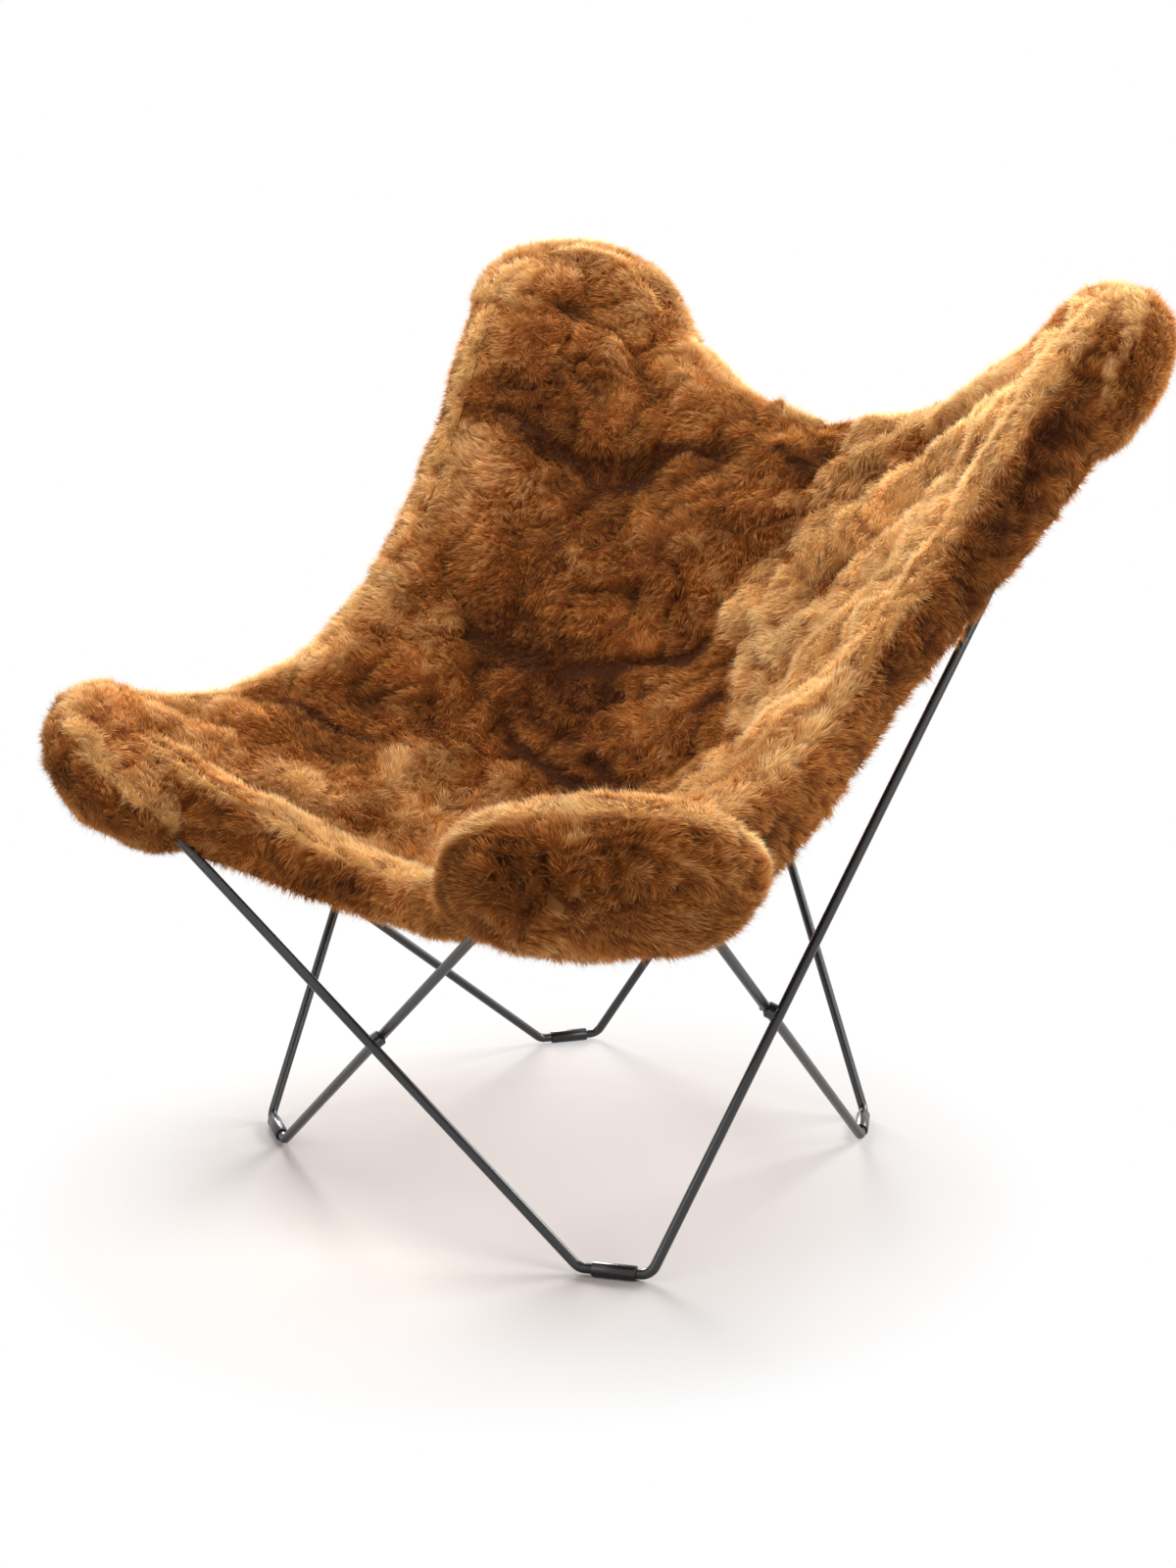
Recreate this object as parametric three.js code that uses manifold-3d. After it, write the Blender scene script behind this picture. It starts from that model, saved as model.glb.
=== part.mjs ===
import * as THREE from "three";
import { mergeVertices } from "three/addons/utils/BufferGeometryUtils.js";
import Module from "manifold-3d";

const wasm = await Module();
wasm.setup();

// Driving sizes of the rod frame, in millimetres
const ROD_RADIUS = 5;
const FIT = 0.3;
const FRONT_FOOT_X = 250;
const BACK_FOOT_X = 210;
const FOOT_Y = 214;
const FRONT_FOOT_TURN = THREE.MathUtils.degToRad(28);
const BACK_FOOT_TURN = THREE.MathUtils.degToRad(57);
const FOOT_BAR_HALF = 34.5;
const FOOT_BEND_RADIUS = 14;
const LOOP_OFFSET = 7;

// Where the straight arms of each tip would meet, and the bow that rounds that corner
const FRONT_TIP = { x: 393, y: 391, z: 521 };
const BACK_TIP = { x: 441, y: 470, z: 1052 };
const FRONT_BOW_RADIUS = 46;
const BACK_BOW_RADIUS = 70;

// Foot sleeves, with a flat to stand on
const SLEEVE_RADIUS = 7.25;
const SLEEVE_LENGTH = 43;
const SLEEVE_FLAT_HALF = 3;
const ROD_END_GAP = 0.4;
const AXIS_HEIGHT = Math.sqrt(SLEEVE_RADIUS ** 2 - SLEEVE_FLAT_HALF ** 2);

// Spacers and screws at the four crossings
const SPACER_RADIUS = 8;
const SPACER_LENGTH_SHARE = 0.9;
const SCREW_RADIUS = 2;
const SCREW_DEPTH_PAST_AXIS = 2.5;
const SCREW_HEAD_RADIUS = 4;
const SCREW_HEAD_HEIGHT = 2.4;
const CUT_OVERRUN = 1;

// Outline of the cover, as its highest line sees it
const COVER_HALF_WIDTH = 364;
const COVER_DEPTH = 408;
const COVER_HEIGHT = 906;
const COVER_LEAN = 16;
const EDGE_INSET_SHARE = 0.035;
const SEAT_HOLLOW = 14;
const FRONT_SIDE_SAG = 12;

// Layers of the cover
const PILE = 26;
const HIDE_GAP = 0.3;
const LEATHER_THICKNESS = 3;
const SIDE_HEM_DROP = 76;
const SIDE_HEM_FLARE = 16;
const FRONT_HEM_DROP = 78;
const BACK_HEM_DROP = 27;
const HEM_SEAM = 1.5;
const HEM_CORNER_GAP = 0.6;
const SEAM_GAP_SHARE = 0.0012;

// Control points of the edges as shares of half width, depth and height, from the tip on
const FRONT_EDGE_SHARES = [
  [0.962, -0.816, 0.561],
  [0.819, -0.926, 0.557],
  [0.426, -0.833, 0.466],
  [0.264, -0.583, 0.392],
  [0, -0.583, 0.392],
];
const BACK_EDGE_SHARES = [
  [1, 0.907, 1],
  [0.538, 1.297, 1.003],
  [0.882, 1.047, 0.868],
  [0.132, 1, 0.815],
  [0, 1, 0.815],
];
const SIDE_EDGE_SHARES = [
  [0.962, -0.816, 0.561],
  [1.033, -0.711, 0.545],
  [0.753, 0.118, 0.344],
  [0.81, 0.507, 0.916],
  [1.365, 0.586, 0.99],
  [1, 0.907, 1],
];

// Seams of the four hides, as shares across and along the cover
const CENTRE_SEAM_SHARE = 0.14;
const CROSS_SEAM_SHARE = 0.46;

// Folds pressed into the pile: two ends, half width and rise, in shares of the cover and the pile
const FOLD_SHARES = [
  { from: [-0.68, 0.45], to: [-0.38, 0.5], half: 0.045, rise: -0.4 },
  { from: [-0.38, 0.5], to: [0, 0.59], half: 0.045, rise: -0.5 },
  { from: [-0.4, 0.4], to: [0.04, 0.4], half: 0.045, rise: -0.55 },
  { from: [-0.95, 0.25], to: [-0.58, 0.3], half: 0.05, rise: -0.4 },
  { from: [-0.7, 0.1], to: [-0.1, 0.15], half: 0.05, rise: -0.3 },
  { from: [-1, 0.66], to: [-0.5, 0.68], half: 0.04, rise: -0.4 },
  { from: [-0.5, 0.68], to: [-0.15, 0.86], half: 0.05, rise: -0.35 },
  { from: [-0.9, 0.84], to: [-0.5, 0.88], half: 0.05, rise: -0.25 },
  { from: [0.2, 0.5], to: [0.62, 0.36], half: 0.05, rise: -0.35 },
  { from: [0.3, 0.78], to: [0.78, 0.83], half: 0.045, rise: -0.4 },
  { from: [0.3, 0.63], to: [0.75, 0.7], half: 0.045, rise: -0.35 },
  { from: [0.3, 0.22], to: [0.85, 0.18], half: 0.05, rise: -0.35 },
  { from: [0.14, 1], to: [0.14, 0], half: 0.05, rise: -0.2 },
];

// Soft swells of the pile: turns across and along the cover, phase in turns, and rise
const SWELL_SHARES = [
  { across: 3.1, along: 2.3, phase: 0.1, rise: 0.12 },
  { across: -2.2, along: 7.4, phase: 0.55, rise: 0.13 },
  { across: 1.4, along: 9.1, phase: 0.3, rise: 0.11 },
];
const DEEPEST_FOLD_SHARE = -0.7;

// How far the hems hang at places along them, in shares of their run and of their drop
const SIDE_DROP_SHARES = [
  [0.1, 0.3], [0.17, 1], [0.2, 1], [0.3, 0.82], [0.4, 0.56], [0.46, 0.56],
  [0.55, 0.8], [0.65, 0.92], [0.8, 0.97], [0.85, 0.9], [0.91, 0.3],
];
const FRONT_DROP_SHARES = [
  [0, 0.4], [0.35, 0.54], [0.5, 0.74], [0.65, 0.95], [0.75, 1.12], [0.82, 1.05], [0.9, 0.35],
];
const EVEN_DROP_SHARES = [[0, 1], [1, 1]];

// Pockets: half sizes across, along and through, the step down from the bow, the sink under its plane
const FRONT_PAD = { across: 138, along: 95, through: 54, down: 73, sink: -6, shift: 0 };
const BACK_PAD = { across: 120, along: 93, through: 55, down: 60, sink: 11, shift: 2 };
const PAD_RIDE = 20;
const LINING_ACROSS_SHARE = 0.72;
const LINING_ALONG_SHARE = 0.6;
const LINING_HALF_THICKNESS = 10;
const LINING_PAST_BOW = 10;
const LINING_EASE = 0.6;
const PAD_ROUNDNESS_SHARE = 0.82;
const NORMAL_BLEND_REACH = 140;

// Angles of the rolled edge, from its top to its underside, and steps across the hem's band
const ROLL_ANGLES = [52, 4, -48].map(THREE.MathUtils.degToRad);
const ROLL_LEAN = THREE.MathUtils.degToRad(45);
const HEM_BAND_SHARES = [1, 0.86, 0.55];

// How finely curved stretches are cut
const ROUND_SEGMENTS = 8;
const CUT_SEGMENTS = 3;
const CUT_BOW_STEPS = 5;
const SCREW_SEGMENTS = 12;
const BEND_STEPS = 4;
const BOW_STEPS = 9;
const PAD_SEGMENTS = [14, 9];
const LINING_SEGMENTS = [8, 6];
const LEFT_COLUMNS = 8;
const RIGHT_COLUMNS = 6;
const SEAT_ROWS = 5;
const BACK_ROWS = 6;
const COLUMN_SPLITS = 2;
const ROW_SPLITS = 3;

const material = (color, roughness, metalness) =>
  new THREE.MeshStandardMaterial({ color, roughness, metalness });
const blackRod = material(0x17171a, 0.42, 0.55);
const blackSleeve = material(0x0c0c0d, 0.3, 0);
const blackScrew = material(0x202124, 0.4, 0.8);
const suede = material(0x7a4a28, 0.9, 0);
const brownFur = material(0x93551f, 0.95, 0);
const goldFur = material(0xb87432, 0.95, 0);
const darkFur = material(0x7c441a, 0.95, 0);

const mirrorX = (p) => new THREE.Vector3(-p.x, p.y, p.z);
const shiftY = (p, dy) => new THREE.Vector3(p.x, p.y + dy, p.z);

// Solids and booleans
function solidOf(geometry) {
  const bare = geometry.clone();
  bare.deleteAttribute("normal");
  bare.deleteAttribute("uv");
  const merged = mergeVertices(bare);
  return new wasm.Manifold(new wasm.Mesh({
    numProp: 3,
    vertProperties: new Float32Array(merged.attributes.position.array),
    triVerts: new Uint32Array(merged.index.array),
  }));
}

function geometryOf(solid) {
  const mesh = solid.getMesh();
  const geometry = new THREE.BufferGeometry();
  geometry.setAttribute("position", new THREE.BufferAttribute(mesh.vertProperties, mesh.numProp));
  geometry.setIndex(new THREE.BufferAttribute(mesh.triVerts, 1));
  geometry.computeVertexNormals();
  return geometry;
}

function largestOf(solid) {
  const bodies = solid.decompose();
  return bodies.reduce((best, body) => (body.volume() > best.volume() ? body : best));
}

const cutBy = (solid, tools) => tools.reduce((rest, tool) => rest.subtract(tool), solid);

// A path given by its own stations, so straight stretches need only two
class StationCurve extends THREE.Curve {
  constructor(stations) {
    super();
    this.stations = stations;
  }

  getPointAt(share) {
    return this.stations[Math.round(share * (this.stations.length - 1))].point.clone();
  }

  getPoint(share) {
    return this.getPointAt(share);
  }

  getTangentAt(share) {
    return this.stations[Math.round(share * (this.stations.length - 1))].tangent.clone();
  }
}

// Stations along straight lines with round bends at the corners
function bentStations(corners, radii, steps) {
  const stations = [];
  const last = corners.length - 1;
  const direction = (i) => corners[i + 1].clone().sub(corners[i]).normalize();
  stations.push({ point: corners[0].clone(), tangent: direction(0) });
  for (let i = 1; i < last; i += 1) {
    const before = direction(i - 1);
    const after = direction(i);
    const turn = before.angleTo(after);
    const reach = radii[i - 1] * Math.tan(turn / 2);
    const start = corners[i].clone().addScaledVector(before, -reach);
    const axis = before.clone().cross(after).normalize();
    const toCentre = axis.clone().cross(before).multiplyScalar(radii[i - 1]);
    const centre = start.clone().add(toCentre);
    for (let k = 0; k <= steps[i - 1]; k += 1) {
      const angle = (turn * k) / steps[i - 1];
      const arm = toCentre.clone().negate().applyAxisAngle(axis, angle);
      const tangent = before.clone().applyAxisAngle(axis, angle);
      stations.push({ point: centre.clone().add(arm), tangent });
    }
  }
  stations.push({ point: corners[last].clone(), tangent: direction(last - 1) });
  return stations;
}

// Foot bars: the middle of each and the way it points
const footAt = (x, y) => new THREE.Vector3(x, y, AXIS_HEIGHT);
const alongFloor = (turn) => new THREE.Vector3(Math.cos(turn), Math.sin(turn), 0);
const loopA = {
  front: { middle: footAt(FRONT_FOOT_X, -FOOT_Y), along: alongFloor(FRONT_FOOT_TURN) },
  back: { middle: footAt(-BACK_FOOT_X, FOOT_Y), along: alongFloor(BACK_FOOT_TURN) },
  frontTip: new THREE.Vector3(-FRONT_TIP.x, -FRONT_TIP.y, FRONT_TIP.z),
  backTip: new THREE.Vector3(BACK_TIP.x, BACK_TIP.y, BACK_TIP.z),
};

function placedLoop(mirrored, dy) {
  const place = (p) => shiftY(mirrored ? mirrorX(p) : p, dy);
  const turn = (d) => (mirrored ? mirrorX(d) : d.clone());
  const foot = (f) => ({ middle: place(f.middle), along: turn(f.along) });
  return {
    front: foot(loopA.front),
    back: foot(loopA.back),
    frontTip: place(loopA.frontTip),
    backTip: place(loopA.backTip),
  };
}
const outerLoop = placedLoop(false, -LOOP_OFFSET);
const innerLoop = placedLoop(true, LOOP_OFFSET);

// One bent rod runs from the middle of one foot over its tip to the middle of the other foot
function rodCorners(loop, tip, side) {
  const end = (foot) => foot.middle.clone().addScaledVector(foot.along, (side * ROD_END_GAP) / 2);
  const bend = (foot) => foot.middle.clone().addScaledVector(foot.along, side * FOOT_BAR_HALF);
  return [end(loop.front), bend(loop.front), tip, bend(loop.back), end(loop.back)];
}

function rodSolid(corners, bowRadius, radius, segments, bowSteps = BOW_STEPS) {
  const radii = [FOOT_BEND_RADIUS, bowRadius, FOOT_BEND_RADIUS];
  const stations = bentStations(corners, radii, [BEND_STEPS, bowSteps, BEND_STEPS]);
  const section = new THREE.Shape().absarc(0, 0, radius, 0, Math.PI * 2);
  const geometry = new THREE.ExtrudeGeometry(section, {
    steps: stations.length - 1,
    curveSegments: segments,
    extrudePath: new StationCurve(stations),
  });
  return solidOf(geometry);
}

const rods = {
  front_left: { corners: rodCorners(outerLoop, outerLoop.frontTip, -1), bow: FRONT_BOW_RADIUS },
  back_right: { corners: rodCorners(outerLoop, outerLoop.backTip, 1), bow: BACK_BOW_RADIUS },
  front_right: { corners: rodCorners(innerLoop, innerLoop.frontTip, -1), bow: FRONT_BOW_RADIUS },
  back_left: { corners: rodCorners(innerLoop, innerLoop.backTip, 1), bow: BACK_BOW_RADIUS },
};
const rodSolids = {};
const rodClearances = [];
const softClearances = [];
for (const [name, rod] of Object.entries(rods)) {
  const [, before, tip, after] = rod.corners;
  const turn = tip.clone().sub(before).angleTo(after.clone().sub(tip));
  const sag = rod.bow * (1 - Math.cos(turn / (2 * CUT_BOW_STEPS)));
  const cutRadius = (ROD_RADIUS + FIT + sag) / Math.cos(Math.PI / (2 * CUT_SEGMENTS));
  rodSolids[name] = rodSolid(rod.corners, rod.bow, ROD_RADIUS, ROUND_SEGMENTS);
  rodClearances.push(rodSolid(rod.corners, rod.bow, ROD_RADIUS + FIT, ROUND_SEGMENTS));
  softClearances.push(rodSolid(rod.corners, rod.bow, cutRadius, CUT_SEGMENTS, CUT_BOW_STEPS));
}

// Sleeves over the butted rod ends
function sleeveGeometry(foot) {
  const flat = Math.acos(AXIS_HEIGHT / SLEEVE_RADIUS);
  const down = -Math.PI / 2;
  const section = new THREE.Shape().absarc(0, 0, SLEEVE_RADIUS, down + flat, down - flat + Math.PI * 2);
  section.closePath();
  section.holes.push(new THREE.Path().absarc(0, 0, ROD_RADIUS + FIT, 0, Math.PI * 2, true));
  const geometry = new THREE.ExtrudeGeometry(section, {
    depth: SLEEVE_LENGTH,
    bevelEnabled: false,
    curveSegments: ROUND_SEGMENTS,
  });
  geometry.translate(0, 0, -SLEEVE_LENGTH / 2);
  const up = new THREE.Vector3(0, 0, 1);
  const across = up.clone().cross(foot.along);
  geometry.applyMatrix4(new THREE.Matrix4().makeBasis(across, up, foot.along));
  geometry.translate(foot.middle.x, foot.middle.y, foot.middle.z);
  return geometry;
}

// Closest points of two straight arms
function crossing(outer, inner) {
  const u = outer[1].clone().sub(outer[0]);
  const v = inner[1].clone().sub(inner[0]);
  const w = outer[0].clone().sub(inner[0]);
  const det = u.dot(u) * v.dot(v) - u.dot(v) ** 2;
  const s = (u.dot(v) * v.dot(w) - v.dot(v) * u.dot(w)) / det;
  const t = (u.dot(u) * v.dot(w) - u.dot(v) * u.dot(w)) / det;
  return {
    outer: outer[0].clone().addScaledVector(u, s),
    inner: inner[0].clone().addScaledVector(v, t),
  };
}

const armToFront = (rod) => [rod.corners[1], rod.corners[2]];
const armToBack = (rod) => [rod.corners[3], rod.corners[2]];
const crossings = {
  front: {
    ...crossing(armToFront(rods.front_left), armToFront(rods.front_right)),
    outerRod: "front_left",
    innerRod: "front_right",
  },
  right: {
    ...crossing(armToFront(rods.back_right), armToBack(rods.front_right)),
    outerRod: "back_right",
    innerRod: "front_right",
  },
  left: {
    ...crossing(armToFront(rods.back_left), armToBack(rods.front_left)),
    outerRod: "back_left",
    innerRod: "front_left",
  },
  back: {
    ...crossing(armToBack(rods.back_left), armToBack(rods.back_right)),
    outerRod: "back_left",
    innerRod: "back_right",
  },
};

// Lathed solid about the line that joins the two rods, measured from the inner rod's axis outwards
function onCrossing(cross, profile) {
  const points = profile.map(([r, y]) => new THREE.Vector2(r, y));
  const geometry = new THREE.LatheGeometry(points, SCREW_SEGMENTS);
  const way = cross.outer.clone().sub(cross.inner).normalize();
  const turn = new THREE.Quaternion().setFromUnitVectors(new THREE.Vector3(0, 1, 0), way);
  geometry.applyQuaternion(turn);
  geometry.translate(cross.inner.x, cross.inner.y, cross.inner.z);
  return solidOf(geometry);
}

function plainPin(cross, radius, from, to) {
  return onCrossing(cross, [[0, from], [radius, from], [radius, to], [0, to]]);
}

const spacerSolids = {};
const screwSolids = {};
for (const [name, cross] of Object.entries(crossings)) {
  const gap = cross.outer.distanceTo(cross.inner);
  const trim = (gap * (1 - SPACER_LENGTH_SHARE)) / 2;
  const headSeat = -ROD_RADIUS - FIT;
  const screwEnd = gap + SCREW_DEPTH_PAST_AXIS;
  const block = plainPin(cross, SPACER_RADIUS, trim, gap - trim);
  const hole = plainPin(cross, SCREW_RADIUS + FIT, headSeat - CUT_OVERRUN, screwEnd + FIT);
  spacerSolids[name] = cutBy(block, [...rodClearances, hole]);
  screwSolids[name] = onCrossing(cross, [
    [0, headSeat - SCREW_HEAD_HEIGHT],
    [SCREW_HEAD_RADIUS - SCREW_HEAD_HEIGHT / 2, headSeat - SCREW_HEAD_HEIGHT],
    [SCREW_HEAD_RADIUS, headSeat - SCREW_HEAD_HEIGHT / 2],
    [SCREW_HEAD_RADIUS, headSeat],
    [SCREW_RADIUS, headSeat],
    [SCREW_RADIUS, screwEnd],
    [0, screwEnd],
  ]);
  rodSolids[cross.outerRod] = rodSolids[cross.outerRod].subtract(hole);
  rodSolids[cross.innerRod] = rodSolids[cross.innerRod].subtract(hole);
}

// Edges of the cover
const coverPlace = ([x, y, z]) =>
  new THREE.Vector3(x * COVER_HALF_WIDTH, y * COVER_DEPTH, z * COVER_HEIGHT);
const frontEdge = FRONT_EDGE_SHARES.map(coverPlace);
const backEdge = BACK_EDGE_SHARES.map(coverPlace);
const sideEdge = SIDE_EDGE_SHARES.map(coverPlace);

function bezierPoint(points, share) {
  let row = points.map((p) => p.clone());
  while (row.length > 1) {
    row = row.slice(1).map((p, i) => row[i].clone().lerp(p, share));
  }
  return row[0];
}

// One edge runs from tip to tip through its middle
function endEdgePoint(edge, across) {
  const point = bezierPoint(edge, 1 - Math.abs(across));
  return across < 0 ? mirrorX(point) : point;
}

// Point of the top of the cover, across from -1 to 1 and along from 0 at the front to 1 at the back
function coverPoint(across, along) {
  const inner = 1 - EDGE_INSET_SHARE;
  const a = across * inner;
  const b = 0.5 + (along - 0.5) * inner;
  const right = bezierPoint(sideEdge, b);
  const left = mirrorX(right);
  const rightShare = (1 + a) / 2;
  const ends = endEdgePoint(frontEdge, a).lerp(endEdgePoint(backEdge, a), b);
  const sides = left.clone().lerp(right, rightShare);
  const frontLine = mirrorX(frontEdge[0]).lerp(frontEdge[0], rightShare);
  const backLine = mirrorX(backEdge[0]).lerp(backEdge[0], rightShare);
  const point = ends.add(sides).sub(frontLine.lerp(backLine, b));
  const hollow = (1 - a * a) * Math.sin(Math.PI * b) ** 2;
  point.z -= SEAT_HOLLOW * hollow;
  point.z -= FRONT_SIDE_SAG * a * a * Math.sin(Math.PI * b) * (1 - b);
  point.z -= COVER_LEAN * (point.x / COVER_HALF_WIDTH) * b * b;
  return point;
}

// Axes of a tip: across the bow, from the bow towards the seat, and up out of its plane
function tipAxes(rod) {
  const [, frontBend, tip, backBend] = rod.corners;
  const toFront = frontBend.clone().sub(tip).normalize();
  const toBack = backBend.clone().sub(tip).normalize();
  const inward = toFront.clone().add(toBack).normalize();
  const normal = toFront.clone().cross(toBack).normalize();
  if (normal.z < 0) {
    normal.negate();
  }
  const across = inward.clone().cross(normal);
  const halfAngle = toFront.angleTo(toBack) / 2;
  const bow = tip.clone().addScaledVector(inward, rod.bow / Math.sin(halfAngle) - rod.bow);
  return { bow, across, inward, normal };
}
const tips = Object.fromEntries(Object.entries(rods).map(([name, rod]) => [name, tipAxes(rod)]));

// Upward normal of the cover, drawn to the plane of the nearest bow close to a tip
function coverNormal(across, along) {
  const step = EDGE_INSET_SHARE;
  const du = coverPoint(across + step, along).sub(coverPoint(across - step, along));
  const dv = coverPoint(across, along + step).sub(coverPoint(across, along - step));
  const normal = du.cross(dv).normalize();
  const point = coverPoint(across, along);
  for (const tip of Object.values(tips)) {
    const near = 1 - THREE.MathUtils.smoothstep(point.distanceTo(tip.bow), 0, NORMAL_BLEND_REACH);
    normal.lerp(tip.normal, near);
  }
  return normal.normalize();
}

// Spot at a height over the cover's top, past an edge by a distance
function coverSpot({ across, along, height, past = 0 }) {
  const point = coverPoint(across, along);
  const normal = coverNormal(across, along);
  if (past !== 0) {
    const sideways = Math.abs(across) === 1;
    const step = EDGE_INSET_SHARE;
    const inside = sideways
      ? coverPoint(across * (1 - step), along)
      : coverPoint(across, along + (along === 0 ? step : -step));
    const outward = point.clone().sub(inside);
    outward.addScaledVector(normal, -outward.dot(normal)).normalize();
    point.addScaledVector(outward, past);
  }
  return point.addScaledVector(normal, height);
}

// Closed solid through rows of like sections, each an outer and an inner line of as many points
function sectionSolid(rows) {
  const half = rows[0].outer.length;
  const swapped = rows[0].swapped ?? false;
  const count = half * 2;
  const index = [];
  for (let i = 0; i < rows.length - 1; i += 1) {
    for (let j = 0; j < count; j += 1) {
      const a = i * count + j;
      const b = i * count + ((j + 1) % count);
      if (swapped === j < half) {
        index.push(a, b, a + count, b, b + count, a + count);
      } else {
        index.push(a, b, b + count, a, b + count, a + count);
      }
    }
  }
  const end = (rows.length - 1) * count;
  for (let j = 0; j < half - 1; j += 1) {
    const k = count - 1 - j;
    index.push(j, k, k - 1, j, k - 1, j + 1);
    index.push(end + k, end + j, end + j + 1, end + k, end + j + 1, end + k - 1);
  }
  const points = rows.flatMap(({ outer, inner }) => [...outer, ...inner.toReversed()]);
  const geometry = new THREE.BufferGeometry().setFromPoints(points);
  geometry.setIndex(index);
  const solid = solidOf(geometry);
  return solid.volume() > 0 ? solid : solidOf(flippedGeometry(geometry));
}

function flippedGeometry(geometry) {
  const flipped = geometry.clone();
  const index = flipped.index.array;
  for (let i = 0; i < index.length; i += 3) {
    [index[i], index[i + 1]] = [index[i + 1], index[i]];
  }
  return flipped;
}

const spread = (from, to, count) =>
  Array.from({ length: count + 1 }, (_, i) => from + ((to - from) * i) / count);

// Share at a place along a line of places and shares
function shareAt(stops, place) {
  const next = stops.findIndex(([stop]) => stop >= place);
  if (next <= 0) {
    return next === 0 ? stops[0][1] : stops.at(-1)[1];
  }
  const [from, low] = stops[next - 1];
  const [to, high] = stops[next];
  return THREE.MathUtils.mapLinear(place, from, to, low, high);
}

// Rise of the pile over its even top
function foldRise(across, along) {
  let rise = 0;
  for (const swell of SWELL_SHARES) {
    const turns = swell.across * across + swell.along * along + swell.phase;
    rise += swell.rise * Math.cos(turns * Math.PI * 2);
  }
  for (const fold of FOLD_SHARES) {
    const run = [fold.to[0] - fold.from[0], fold.to[1] - fold.from[1]];
    const way = [across - fold.from[0], along - fold.from[1]];
    const length = run[0] ** 2 + run[1] ** 2;
    const share = THREE.MathUtils.clamp((way[0] * run[0] + way[1] * run[1]) / length, 0, 1);
    const off = Math.hypot(way[0] - share * run[0], way[1] - share * run[1]);
    rise += fold.rise * Math.exp(-((off / fold.half) ** 2));
  }
  return Math.max(rise, DEEPEST_FOLD_SHARE) * PILE;
}

// Columns and rows that all layers share, so that they stay parallel
const leftColumns = spread(-1, CENTRE_SEAM_SHARE, LEFT_COLUMNS);
const rightColumns = spread(CENTRE_SEAM_SHARE, 1, RIGHT_COLUMNS);
const seatRows = spread(0, CROSS_SEAM_SHARE, SEAT_ROWS);
const backRows = spread(CROSS_SEAM_SHARE, 1, BACK_ROWS);
const allColumns = [...leftColumns, ...rightColumns.slice(1)];
const allRows = [...seatRows, ...backRows.slice(1)];
const endingEarly = (places) => places.with(-1, places.at(-1) - SEAM_GAP_SHARE);

// The leather, an even sheet between two heights
function sheetSolid(columns, rows, top, bottom) {
  return sectionSolid(rows.map((along) => ({
    outer: columns.map((across) => coverSpot({ across, along, height: top })),
    inner: columns.map((across) => coverSpot({ across, along, height: bottom })),
  })));
}

// Points of a hide's top, in finer cells that keep its edges straight above those of its underside
function pileRows(columns, rows) {
  const fineRow = (row) => {
    const low = Math.min(Math.floor(row / ROW_SPLITS), rows.length - 2);
    const along = row / ROW_SPLITS - low;
    return Array.from({ length: (columns.length - 1) * COLUMN_SPLITS + 1 }, (_, column) => {
      const left = Math.min(Math.floor(column / COLUMN_SPLITS), columns.length - 2);
      const across = column / COLUMN_SPLITS - left;
      const between = (corner) => {
        const near = corner(left, low).lerp(corner(left + 1, low), across);
        return near.lerp(corner(left, low + 1).lerp(corner(left + 1, low + 1), across), along);
      };
      const place = between((i, j) => new THREE.Vector2(columns[i], rows[j]));
      const normal = between((i, j) => coverNormal(columns[i], rows[j])).normalize();
      const point = between((i, j) => coverPoint(columns[i], rows[j]));
      return point.addScaledVector(normal, foldRise(place.x, place.y));
    });
  };
  return Array.from({ length: (rows.length - 1) * ROW_SPLITS + 1 }, (_, row) => fineRow(row));
}

// A hide: a top with folds, over an even underside that follows the leather
function hideSolid(columns, rows) {
  const top = pileRows(columns, rows);
  const underSpot = (across, along) => coverSpot({ across, along, height: hideBottom });
  const under = rows.map((along) => columns.map((across) => underSpot(across, along)));
  const points = [...top.flat(), ...under.flat()];
  const topAt = (row, column) => row * top[0].length + column;
  const underAt = (row, column) => top.length * top[0].length + row * columns.length + column;
  const index = [];
  for (let row = 0; row < top.length - 1; row += 1) {
    for (let column = 0; column < top[0].length - 1; column += 1) {
      const [a, b] = [topAt(row, column), topAt(row, column + 1)];
      const [c, d] = [topAt(row + 1, column), topAt(row + 1, column + 1)];
      index.push(a, b, d, a, d, c);
    }
  }
  for (let row = 0; row < rows.length - 1; row += 1) {
    for (let column = 0; column < columns.length - 1; column += 1) {
      const [a, b] = [underAt(row, column), underAt(row, column + 1)];
      const [c, d] = [underAt(row + 1, column), underAt(row + 1, column + 1)];
      index.push(a, d, b, a, c, d);
    }
  }
  const wall = (low, next, high, flip) => {
    const fan = high.slice(1).map((point, i) => [low, high[i], point]);
    for (const [a, b, c] of [...fan, [low, high.at(-1), next]]) {
      index.push(...(flip ? [a, c, b] : [a, b, c]));
    }
  };
  const steps = (from, count) => Array.from({ length: count + 1 }, (_, i) => from * count + i);
  for (let column = 0; column < columns.length - 1; column += 1) {
    for (const [row, topRow, flip] of [[0, 0, false], [rows.length - 1, top.length - 1, true]]) {
      const high = steps(column, COLUMN_SPLITS).map((i) => topAt(topRow, i));
      wall(underAt(row, column), underAt(row, column + 1), high, !flip);
    }
  }
  for (let row = 0; row < rows.length - 1; row += 1) {
    for (const [column, topColumn, flip] of [[0, 0, false], [columns.length - 1, top[0].length - 1, true]]) {
      const high = steps(row, ROW_SPLITS).map((i) => topAt(i, topColumn));
      wall(underAt(row, column), underAt(row + 1, column), high, flip);
    }
  }
  const geometry = new THREE.BufferGeometry().setFromPoints(points);
  geometry.setIndex(index);
  const solid = solidOf(geometry);
  return solid.volume() > 0 ? solid : solidOf(flippedGeometry(geometry));
}

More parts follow.
